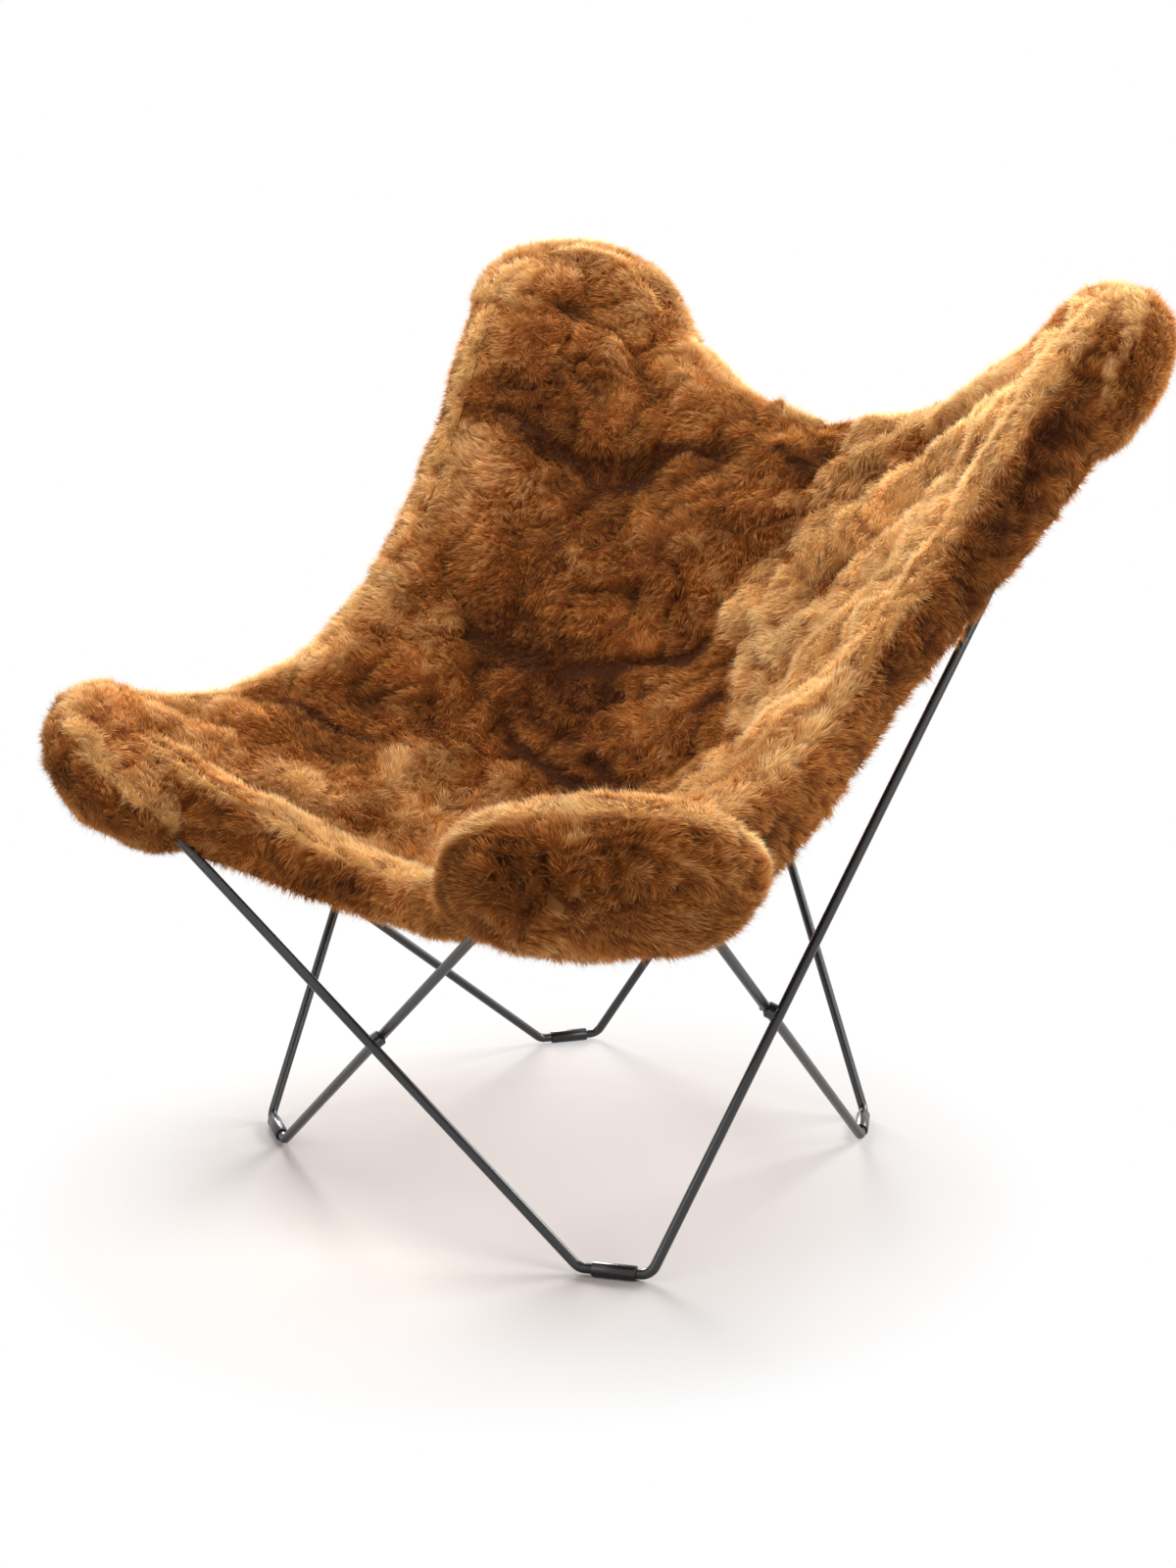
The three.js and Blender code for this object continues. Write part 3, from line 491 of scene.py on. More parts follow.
class Look(Nodes):
    """A material with one principled shader."""

    def __init__(self, name):
        self.mat = bpy.data.materials.new(name)
        self.mat.use_nodes = True
        super().__init__(self.mat.node_tree)
        self.shader = self.tree.nodes["Principled BSDF"]
        self.out = self.tree.nodes["Material Output"]

    def noise(self, scale, detail, roughness=0.55):
        where = self.add("ShaderNodeTexCoord").outputs["Object"]
        node = self.add("ShaderNodeTexNoise", Vector=where, Scale=scale, Detail=detail,
                        Roughness=roughness)
        return node.outputs["Fac"]

    def value(self, name):
        return self.add("ShaderNodeAttribute", attribute_name=name).outputs["Fac"]

    def ramp(self, source, stops):
        node = self.add("ShaderNodeValToRGB", Fac=source)
        line = node.color_ramp
        while len(line.elements) < len(stops):
            line.elements.new(0.5)
        for element, (place, colour) in zip(line.elements, stops):
            element.position = place
            element.color = colour if hasattr(colour, "__len__") else (colour,) * 3 + (1.0,)
        return node.outputs["Color"]

    def mix(self, share, a, b, blend="MIX"):
        node = self.add("ShaderNodeMix", data_type="RGBA", blend_type=blend)
        for at, value in ((0, share), (6, a), (7, b)):
            self.feed(node.inputs[at], value)
        return node.outputs[2]

    def bump(self, height, strength, distance):
        node = self.add("ShaderNodeBump", Height=height, Strength=strength, Distance=distance)
        self.link(node.outputs[0], self.shader.inputs["Normal"])

    def set(self, **values):
        for key, value in values.items():
            self.feed(self.shader.inputs[key.replace("_", " ")], value)
        return self.mat

    def show(self, node):
        self.link(node.outputs[0], self.out.inputs[0])
        return self.mat


def rod_look():
    n = Look("satin_black_powder_coat")
    fine = n.noise(900, 2)
    broad = n.noise(14, 3)
    colour = n.ramp(broad, [(0.35, linear(19, 19, 20)), (0.65, linear(28, 28, 29))])
    rough = n.ramp(broad, [(0.3, 0.30), (0.7, 0.42)])
    n.bump(fine, 0.12, 0.0003)
    return n.set(Base_Color=colour, Roughness=rough, Specular_IOR_Level=0.5, Coat_Weight=0.25,
                 Coat_Roughness=0.2)


def sleeve_look():
    n = Look("glossy_black_nylon")
    broad = n.noise(60, 3)
    scuffs = n.noise(700, 4, 0.7)
    colour = n.ramp(broad, [(0.35, linear(14, 14, 15)), (0.7, linear(24, 24, 25))])
    rough = n.ramp(scuffs, [(0.35, 0.22), (0.75, 0.4)])
    n.bump(scuffs, 0.08, 0.0002)
    return n.set(Base_Color=colour, Roughness=rough, Specular_IOR_Level=0.55)


def screw_look():
    n = Look("black_zinc")
    grain = n.noise(1500, 2)
    colour = n.ramp(grain, [(0.3, linear(30, 31, 34)), (0.7, linear(52, 53, 56))])
    rough = n.ramp(grain, [(0.3, 0.28), (0.7, 0.45)])
    return n.set(Base_Color=colour, Roughness=rough, Metallic=0.9)


def leather_look():
    n = Look("brown_suede")
    broad = n.noise(9, 4)
    nap = n.noise(60, 5, 0.7)
    fine = n.noise(1400, 3, 0.7)
    colour = n.ramp(broad, [(0.3, linear(96, 60, 34)), (0.7, linear(134, 88, 52))])
    streak = n.ramp(nap, [(0.35, linear(84, 52, 30)), (0.7, linear(142, 96, 58))])
    mixed = n.mix(0.45, colour, streak)
    n.bump(fine, 0.35, 0.0006)
    rough = n.ramp(nap, [(0.3, 0.78), (0.7, 0.95)])
    return n.set(Base_Color=mixed, Roughness=rough, Sheen_Weight=0.35, Sheen_Roughness=0.5)


def thread_look():
    n = Look("waxed_thread")
    twist = n.noise(2500, 2)
    colour = n.ramp(twist, [(0.3, linear(58, 36, 20)), (0.7, linear(96, 62, 36))])
    n.bump(twist, 0.3, 0.0003)
    return n.set(Base_Color=colour, Roughness=0.6)


# The three fur colours at the root, the middle and the tip of a blade, and the light let through;
# the dark colours carry darker fur and painted shade, the gold ones the pale hide and painted light
FUR_STOPS = (0.0, 0.45, 1.0)
FUR_BROWN = ((130, 65, 20), (200, 122, 52), (252, 194, 110))
FUR_DARK = ((60, 28, 8), (110, 58, 20), (172, 106, 50))
FUR_GOLD = ((228, 164, 88), (255, 218, 148), (255, 248, 210))
FUR_THROUGH = 0.38


def fur_look():
    """Fur, darker at the root and golden at the tip, with paler and darker areas that are partly its
    own colour and partly painted light and shade.
    """
    n = Look("sheepskin_fur")
    tip = n.value("tip")
    tone = n.value("tone")
    brown, dark, gold = (n.ramp(tip, list(zip(FUR_STOPS, [linear(*c) for c in shades])))
                         for shades in (FUR_BROWN, FUR_DARK, FUR_GOLD))
    darker = n.ramp(tone, [(0.0, 1.0), (0.5, 0.0)])
    paler = n.ramp(tone, [(0.5, 0.0), (1.0, 1.0)])
    colour = n.mix(darker, brown, dark)
    colour = n.mix(paler, colour, gold)
    colour = n.mix(1.0, colour, n.value("bright"), "MULTIPLY")
    n.set(Base_Color=colour, Roughness=0.73, Specular_IOR_Level=0.15,
          Sheen_Weight=0.4, Sheen_Roughness=0.35, Sheen_Tint=linear(255, 206, 140))
    glow = n.add("ShaderNodeBsdfTranslucent", Color=colour)
    return n.show(n.blend(FUR_THROUGH, n.shader, glow))


LOOKS = {
    "rod": rod_look(),
    "sleeve": sleeve_look(),
    "screw": screw_look(),
    "leather": leather_look(),
    "thread": thread_look(),
    "fur": fur_look(),
}


def place(ob, look, slot, *nodes):
    """Gives a piece its material and its body, and hides the nodes that it stands for; its slot is
    not used.
    """
    ob.data.materials.clear()
    ob.data.materials.append(LOOKS[look])
    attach(ob, "root")
    if nodes:
        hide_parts(*nodes)
    return ob


def piece(name, solid, look, slot, node, sharp=None):
    """A piece of one node from points and faces, with edges sharp past an angle in degrees."""
    ob = make_mesh(name, *solid)
    if sharp:
        ob.data.set_sharp_from_angle(angle=math.radians(sharp))
    return place(ob, look, slot, node)


# Camera and light
def camera():
    data = bpy.data.cameras.new("camera")
    data.lens = 53.352
    data.sensor_width = 36
    data.shift_x = -0.00276
    data.shift_y = -0.00134
    data.clip_start = 0.05
    ob = bpy.data.objects.new("camera", data)
    bpy.context.scene.collection.objects.link(ob)
    ob.location = Vector(SHIFT) + Vector((1.581588, -1.690404, 0.975162))
    right = Vector((0.73599669, 0.6769567, -0.00620491))
    up = Vector((-0.160947, 0.18387182, 0.96968408))
    back = right.cross(up)
    ob.rotation_mode = "QUATERNION"
    ob.rotation_quaternion = Matrix((right, up, back)).transposed().to_quaternion()
    bpy.context.scene.camera = ob


def area_light(name, place_at, aim, size, power, colour=(1, 1, 1)):
    data = bpy.data.lights.new(name, "AREA")
    data.shape = "RECTANGLE"
    data.size = size[0]
    data.size_y = size[1]
    data.energy = power
    data.color = colour
    ob = bpy.data.objects.new(name, data)
    bpy.context.scene.collection.objects.link(ob)
    ob.location = place_at
    way = Vector(aim) - Vector(place_at)
    ob.rotation_mode = "QUATERNION"
    ob.rotation_quaternion = way.to_track_quat("-Z", "Y")


def world():
    """Soft light on the object, and plain white for the rays that show the background."""
    made = bpy.data.worlds.new("studio")
    bpy.context.scene.world = made
    made.use_nodes = True
    made.node_tree.nodes.clear()
    n = Nodes(made.node_tree)
    lit = n.add("ShaderNodeBackground", Color=(1.0, 0.985, 0.97, 1), Strength=0.3)
    seen = n.add("ShaderNodeBackground", Color=(1, 1, 1, 1), Strength=1.0)
    out = n.add("ShaderNodeOutputWorld")
    n.link(n.blend(n.background_rays(), lit, seen).outputs[0], out.inputs[0])


def floor():
    """A pale floor below the chair that turns into the white background further off, with a painted
    shadow: a grey oval round the chair, where the lamps' shadow shows too.
    """
    n = Look("pale_floor")
    where = n.add("ShaderNodeNewGeometry").outputs["Position"]
    parts = n.add("ShaderNodeSeparateXYZ", Vector=where)
    across = n.math("POWER", n.math("SUBTRACT", parts.outputs["X"], 0.03), 2.0)
    along = n.math("POWER", n.math("ADD", parts.outputs["Y"], 0.13), 2.0)
    away = n.math("SQRT", n.math("ADD", across, along), 0.0)
    # Painted shadow: the floor is grey in an oval round the chair and fades to white emission beyond
    # it
    far = n.ramp(away, [(0.26, 0.0), (0.52, 1.0)])
    n.set(Base_Color=linear(196, 190, 187), Roughness=0.9, Specular_IOR_Level=0.1)
    glow = n.add("ShaderNodeEmission", Color=(1, 1, 1, 1), Strength=1.0)
    near = n.blend(far, n.shader, glow)
    n.show(n.blend(n.background_rays(), n.shader, near))
    half = 9.0
    points = np.array([(-half, -half, 0), (half, -half, 0), (half, half, 0), (-half, half, 0)])
    ob = make_mesh("floor", points, [np.array([[0, 1, 2, 3]])], False)
    ob.data.materials.append(n.mat)


camera()
world()
floor()
area_light("top", (-0.5, -0.3, 3.0), (0, 0, 0.4), (1.7, 1.7), 70, (1, 0.985, 0.96))
area_light("front", (-0.6, -2.9, 1.7), (0, 0, 0.5), (1.8, 1.6), 20)
area_light("side", (2.7, 0.3, 1.6), (0, 0, 0.6), (1.2, 1.6), 32)
area_light("rim_left", (-2.2, 1.5, 1.5), (0, 0.1, 0.6), (1.0, 1.6), 115)
area_light("rim_back", (1.0, 2.6, 1.9), (0, 0.1, 0.7), (1.8, 1.0), 105)
bpy.context.scene.view_settings.view_transform = "Standard"


# Rods
for name, (corners, bow) in RODS.items():
    radii = [FOOT_BEND_RADIUS, bow, FOOT_BEND_RADIUS]
    steps = [BEND_STEPS, BOW_STEPS, BEND_STEPS]
    points, ways = bent_path([c + SHIFT for c in corners], radii, steps)
    bar = tube(points, ways, ROD_RADIUS, ROD_SIDES)
    ob = piece("bent_rod_" + name, bar, "rod", "black_rod", "rod_" + name)
    for end in (1, 2):
        ob.data.polygons[len(ob.data.polygons) - end].use_smooth = False


def sleeve(name, middle, along):
    """Foot sleeve with rounded ends, a bore and a worn flat."""
    flat = math.acos(AXIS_HEIGHT / SLEEVE_RADIUS)
    angles = np.concatenate([np.linspace(flat, 2 * math.pi - flat, 44),
                             np.linspace(-flat, flat, 8)[1:-1]]) - math.pi / 2
    up = np.array([0.0, 0.0, 1.0])
    across = np.cross(up, along)
    half = SLEEVE_LENGTH / 2
    plan = [(SLEEVE_RADIUS - inset, inset, step - half) for inset, step in SLEEVE_ROUNDING]
    plan += [(radius, inset, -at) for radius, inset, at in plan[::-1]]
    plan += [(ROD_RADIUS + BORE_GAP, 0.0, half), (ROD_RADIUS + BORE_GAP, 0.0, -half)]
    rings = []
    for radius, inset, at in plan:
        x = np.cos(angles) * radius
        y = np.maximum(np.sin(angles) * radius, inset - AXIS_HEIGHT)
        rings.append(middle + across * x[:, None] + up * y[:, None] + along * at)
    piece("foot_glide_" + name, from_rings(rings, False), "sleeve", "black_sleeve",
          "foot_sleeve_" + name, 40)


for name, (middle, along) in FEET.items():
    sleeve(name, middle + SHIFT, along)


# Crossings: a spacer that sits between the rods like a saddle, and a screw from the inside
def closest(outer, inner):
    u = outer[1] - outer[0]
    v = inner[1] - inner[0]
    w = outer[0] - inner[0]
    det = u @ u * (v @ v) - (u @ v) ** 2
    s = ((u @ v) * (v @ w) - (v @ v) * (u @ w)) / det
    t = ((u @ u) * (v @ w) - (u @ v) * (u @ w)) / det
    return outer[0] + u * s, inner[0] + v * t, unit(u), unit(v)


def to_front(name):
    return RODS[name][0][1], RODS[name][0][2]


def to_back(name):
    return RODS[name][0][3], RODS[name][0][2]


CROSSINGS = {
    "front": (to_front("front_left"), to_front("front_right")),
    "right": (to_front("back_right"), to_back("front_right")),
    "left": (to_front("back_left"), to_back("front_left")),
    "back": (to_back("back_left"), to_back("back_right")),
}


def crossing(name, outer_arm, inner_arm):
    """A spacer with a saddle for each of two rods, and the screw through all three."""
    outer, inner, outer_way, inner_way = closest(outer_arm, inner_arm)
    outer, inner = outer + SHIFT, inner + SHIFT
    way = unit(outer - inner)
    gap = float(np.linalg.norm(outer - inner))
    side = unit(inner_way - way * (inner_way @ way))
    up = np.cross(way, side)
    around = spokes(np.linspace(0, 2 * math.pi, SPACER_SIDES, endpoint=False), side, up)
    rings = []
    for sign, rod_way, axis_at in ((1, inner_way, 0.0), (-1, outer_way, gap)):
        for radius in SPACER_RINGS[::sign]:
            off = np.linalg.norm(np.cross(around * radius, rod_way), axis=1)
            deep = np.sqrt(np.maximum((ROD_RADIUS + BORE_GAP) ** 2 - off ** 2, 0))
            edge = SPACER_EDGE if radius == SPACER_RADIUS else 0.0
            at = axis_at + sign * np.maximum(deep, gap * SPACER_TRIM + edge)
            rings.append(inner + around * radius + way * at[:, None])
    piece("saddle_spacer_" + name, from_rings(rings, False), "rod", "black_rod",
          "crossing_spacer_" + name, 35)

    # Button head with a hexagon socket, and the plain shank
    seat = -ROD_RADIUS - BORE_GAP
    turn = np.linspace(0, 2 * math.pi, SCREW_SIDES, endpoint=False)
    hexagon = SOCKET_HALF / np.cos((turn + math.pi / 6) % (math.pi / 3) - math.pi / 6)
    profile = [(radius or hexagon, seat - height) for radius, height in SCREW_HEAD]
    profile += [(SHANK_RADIUS, seat), *((radius, gap + past) for radius, past in SCREW_END)]
    around = spokes(turn, side, up)
    rings = [inner + around * np.broadcast_to(radius, turn.shape)[:, None] + way * at
             for radius, at in profile]
    piece("button_screw_" + name, from_rings(rings), "screw", "black_screw",
          "crossing_screw_" + name, 35)


for name, arms in CROSSINGS.items():
    crossing(name, *arms)


# The surface of the cover
FRONT, BACK, SIDE = ([np.multiply(place_at, (HALF_WIDTH, DEPTH, HEIGHT)) for place_at in edge]
                     for edge in (FRONT_EDGE, BACK_EDGE, SIDE_EDGE))


def bezier(points, t):
    row = [np.broadcast_to(p, t.shape + (3,)) for p in points]
    while len(row) > 1:
        row = [a + (b - a) * t[..., None] for a, b in zip(row, row[1:])]
    return row[0]


def lerp(a, b, t):
    return a + (b - a) * t[..., None]


def end_edge(edge, a):
    point = bezier(edge, 1 - np.abs(a))
    return np.where((a < 0)[..., None], mirrored(point), point)


def cover_point(across, along):
    inner = 1 - EDGE_INSET
    a = across * inner
    b = 0.5 + (along - 0.5) * inner
    right = bezier(SIDE, b)
    share = (1 + a) / 2
    ends = lerp(end_edge(FRONT, a), end_edge(BACK, a), b)
    sides = lerp(mirrored(right), right, share)
    front_line = lerp(mirrored(FRONT[0]), FRONT[0], share)
    back_line = lerp(mirrored(BACK[0]), BACK[0], share)
    point = ends + sides - lerp(front_line, back_line, b)
    wave = np.sin(math.pi * b)
    point[..., 2] -= SEAT_HOLLOW * (1 - a * a) * wave ** 2
    point[..., 2] -= FRONT_SIDE_SAG * a * a * wave * (1 - b)
    point[..., 2] -= COVER_LEAN * (point[..., 0] / HALF_WIDTH) * b * b
    return point


def tip_axes(corners, bow):
    """The top of a rod's bow, and its directions: across, inward and off its plane."""
    tip = corners[2]
    to_first = unit(corners[1] - tip)
    to_last = unit(corners[3] - tip)
    inward = unit(to_first + to_last)
    normal = unit(np.cross(to_first, to_last))
    if normal[2] < 0:
        normal = -normal
    half = math.acos(np.clip(to_first @ to_last, -1, 1)) / 2
    top = tip + inward * (bow / math.sin(half) - bow)
    return top, np.stack([np.cross(inward, normal), inward, normal])


TIPS = {name: tip_axes(corners, bow) for name, (corners, bow) in RODS.items()}


def cover_normal(across, along):
    s = EDGE_INSET
    du = cover_point(across + s, along) - cover_point(across - s, along)
    dv = cover_point(across, along + s) - cover_point(across, along - s)
    normal = unit(np.cross(du, dv))
    point = cover_point(across, along)
    for bow, axes in TIPS.values():
        near = 1 - smoothstep(np.linalg.norm(point - bow, axis=-1), 0, NORMAL_REACH)
        normal = lerp(normal, axes[2], near)
    return unit(normal)


def cover_spot(across, along, height, past=None, sideways=False):
    """A place on the cover, or past its edge, at a height above it."""
    across, along = np.broadcast_arrays(np.asarray(across, float), np.asarray(along, float))
    point = cover_point(across, along)
    normal = cover_normal(across, along)
    if past is not None:
        s = EDGE_INSET
        if sideways:
            inside = cover_point(across * (1 - s), along)
        else:
            inside = cover_point(across, along + np.where(along < 0.5, s, -s))
        away = unit(beside(point - inside, normal))
        point = point + away * np.asarray(past)[..., None]
    return point + normal * np.broadcast_to(height, across.shape)[..., None]


def fold_rise(across, along):
    rise = 0.0
    for by_across, by_along, phase, height in SWELLS:
        turns = by_across * across + by_along * along + phase
        rise = rise + height * np.cos(turns * 2 * math.pi)
    for start, end, half, height in FOLDS:
        rise = rise + height * bell(from_line(across, along, start, end)[1] / half)
    return np.maximum(rise, DEEPEST_FOLD) * PILE


def seam_way(across, along):
    """How far a place lies from the nearest seam of the cover."""
    return np.minimum(np.abs(across - CENTRE_SEAM) * SEAM_SCALE[0],
                      np.abs(along - CROSS_SEAM) * SEAM_SCALE[1])


def ridge(value, narrow, power):
    """1 where a noise passes 0, down to 0 beside it."""
    return np.clip(1 - np.abs(value) * narrow, 0, 1) ** power


def relief(points, locks=1.0):
    """Rise of the pile over its main folds, and shift of its tone: painted light on swells and lock
    tops, painted shade in creases, partings and between locks.
    """
    bent = points + NAP.at(points + 0.23, 0.06) * 0.018 + NAP.at(points + 0.77, 0.014) * 0.004
    broad = noise(points, 0.075) * 0.0035 + noise_b(bent, 0.034) * 0.0040
    crease = ridge(noise(bent + 0.37, 0.050), 5.5, 1.4)
    part = ridge(noise_b(bent * (0.8, 0.8, 1.2) + 0.71, 0.020), 3.6, 1.3)
    turns = noise(bent * (0.7, 0.7, 1.3) + 0.15, 0.060) * 4.5 + noise_b(points, 0.025) * 0.8
    lock = turns - np.floor(turns)
    lock = np.minimum(lock / 0.8, (1 - lock) / 0.2) - 0.5
    rise = broad - crease * CREASE_DEPTH - part * PART_DEPTH + lock * locks * LOCK_HEIGHT + 0.0015
    # Painted shade in creases and partings, painted light and shade over the locks, painted light on
    # the swells
    shade = lock * locks * LOCK_PAINTED_SHADING - crease * CREASE_PAINTED_SHADE - part * PART_PAINTED_SHADE
    return rise, shade + broad * SWELL_PAINTED_LIGHT + 0.09


def wrinkles(points):
    """Short wrinkles that run along the pale hide."""
    bent = points + NAP.at(points + 0.61, 0.035) * 0.014
    turned = np.stack([bent[..., 0] + bent[..., 2] * 0.5, bent[..., 1] * 0.7,
                       bent[..., 2] * 1.3 - bent[..., 1] * 0.9], -1)
    wide = ridge(noise(turned, 0.026), 4.6, 1.2)
    fine = ridge(noise_b(turned * (1.2, 0.6, 1.2) + 0.4, 0.014), 3.4, 1.2)
    return -wide * 0.0048 - fine * 0.0030


# A patch of longer pile hangs over the hide below the left back tip
PATCH_EDGE = ((-1, -0.8, -0.6, -0.45, -0.3, -0.15), (0.655, 0.65, 0.68, 0.73, 0.80, 0.88))


def over_patch(across, along):
    edge = np.interp(across, *PATCH_EDGE)
    return np.where(across < -0.12, smoothstep(along - edge, -0.002, 0.014), 0.0)

# Parts of the colour map: the furred skin, the skin below it, its walls, and the blades
TOP_PART = ((0.01, 0.01), (0.48, 0.98))
LOW_PART = ((0.51, 0.01), (0.48, 0.28))
WALL_PART = ((0.51, 0.32), (0.48, 0.04))
BLADE_PART = ((0.51, 0.40), (0.48, 0.59))
BLADE_CELLS = 24


def on_part(places, part):
    return np.asarray(part[0]) + places * np.asarray(part[1])


def slab_map(nu, nv):
    """Where the corners of a slab's faces lie on its colour map: the top faces, and the others."""
    across, along = np.meshgrid(np.linspace(0, 1, nu), np.linspace(0, 1, nv), indexing="ij")
    spot = np.stack([across, along], -1).reshape(-1, 2)
    top = spot[grid_faces(np.arange(nu * nv).reshape(nu, nv))]
    rim = np.linspace(0, 1, 2 * (nu + nv) - 3)
    round_rim = np.stack([rim[1:], rim[:-1], rim[:-1], rim[1:]], -1)
    walls = np.stack([round_rim, np.broadcast_to([0.0, 0.0, 1.0, 1.0], round_rim.shape)], -1)
    rest = np.concatenate([on_part(top[:, ::-1], LOW_PART), on_part(walls, WALL_PART)])
    return [on_part(top, TOP_PART), rest]


# Fur: a skin with the pile's relief, and blades of pile that lean with the nap
PELTS = []


def pelt(name, verts, furred, bare, places, naps, depth, tones, count, slot, fill):
    """Keeps a closed skin and what its fur needs until every skin is known."""
    faces = [furred, bare]
    if volume_of(verts, faces) < 0:
        faces = [f[:, ::-1] for f in faces]
        places = [q[:, ::-1] for q in places]
    a, b, c, d = (verts[faces[0][:, k]] for k in range(4))
    face_normal = np.cross(c - a, d - b)
    normals = np.zeros_like(verts)
    for k in range(4):
        np.add.at(normals, faces[0][:, k], face_normal)
    PELTS.append({"name": name, "verts": verts, "furred": faces[0], "bare": faces[1],
                  "normals": unit(normals), "naps": naps, "depth": depth, "tones": tones,
                  "places": places, "count": count, "slot": slot, "fill": fill})


# Paler and darker areas of the cover, partly the fur's own colour and partly painted light along its
# edges and painted shade in its hollows: middle, half sizes and shift of the tone
AREAS = [((-0.7, 0.95), (0.35, 0.09), 0.12), ((-0.7, 0.72), (0.4, 0.07), -0.20),
         ((-0.8, 0.60), (0.25, 0.05), 0.10), ((-0.4, 0.48), (0.5, 0.04), -0.20),
         ((-0.1, 0.405), (0.15, 0.02), -0.25), ((-0.5, 0.08), (0.6, 0.10), 0.30),
         ((0.1, 0.06), (0.5, 0.08), 0.25), ((-0.3, 0.30), (0.5, 0.07), 0.26),
         ((0.45, 0.42), (0.3, 0.07), 0.16), ((0.8, 0.3), (0.25, 0.2), 0.16),
         ((-1.0, 0.5), (0.10, 0.9), 0.30), ((0.0, 1.0), (2.0, 0.035), 0.25),
         ((0.08, 0.62), (0.12, 0.1), -0.10), ((1.0, 0.6), (0.12, 0.3), 0.25),
         ((-0.25, 0.43), (0.25, 0.03), 0.10), ((0.08, 0.85), (0.14, 0.05), -0.30),
         ((0.45, 0.86), (0.22, 0.07), -0.18), ((-0.82, 0.26), (0.2, 0.09), -0.24)]

# Narrow partings that the folds don't have: two ends and how deep
PARTINGS = [((-0.40, 0.445), (-0.2, 0.436), 0.55), ((-0.2, 0.436), (0.04, 0.410), 1.15),
            ((-0.02, 0.86), (0.12, 0.82), 0.7), ((0.06, 0.50), (0.2, 0.54), 0.5)]


def creases(points, across, along):
    """Narrow partings in the middle of the folds, from 0 to 1."""
    a = across + noise(points, 0.06) * 0.035 + noise_b(points, 0.02) * 0.012
    b = along + noise_b(points + 0.3, 0.06) * 0.016
    deep = np.zeros(np.shape(across))
    for start, end, depth in PARTINGS + [(p, q, -height * 2) for p, q, _, height in FOLDS]:
        ends = np.multiply((start, end), PARTING_SCALE)
        share, off = from_line(a * PARTING_SCALE[0], b * PARTING_SCALE[1], *ends)
        fade = smoothstep(share, -0.05, 0.15) * (1 - smoothstep(share, 0.85, 1.05))
        deep = np.maximum(deep, depth * fade * bell(off / PARTING_HALF))
    return deep


# The pale hide starts past this edge: along the cover, and across it
GOLD_EDGE = ((0.34, 0.40, 0.44, 0.50, 0.56, 0.62, 0.70, 0.80, 1.0),
             (0.62, 0.42, 0.24, 0.26, 0.14, 0.02, 0.08, 0.12, 0.18))


def gold_share(points, across, along):
    """1 on the pale hide and 0 off it, with a ragged edge."""
    edge = np.interp(along, *GOLD_EDGE)
    ragged = noise(points, 0.03) * 0.05 + noise_b(points, 0.012) * 0.03
    below = smoothstep(along + ragged * 0.4, 0.37, 0.41)
    return smoothstep(across - edge + ragged, -0.02, 0.03) * below


def area_tone(across, along):
    # Tone from the areas: partly the fur's own colour, partly painted light along edges and painted
    # shade in hollows
    tone = np.zeros(np.shape(across))
    for middle, half, shift in AREAS:
        off = ((across - middle[0]) / half[0]) ** 2 + ((along - middle[1]) / half[1]) ** 2
        tone = tone + shift * np.exp(-off)
    return tone


def twice(values):
    """Values of a grid of points as a list, for the top of a slab and again for its bottom."""
    return np.concatenate([values.reshape(-1, *values.shape[2:])] * 2)


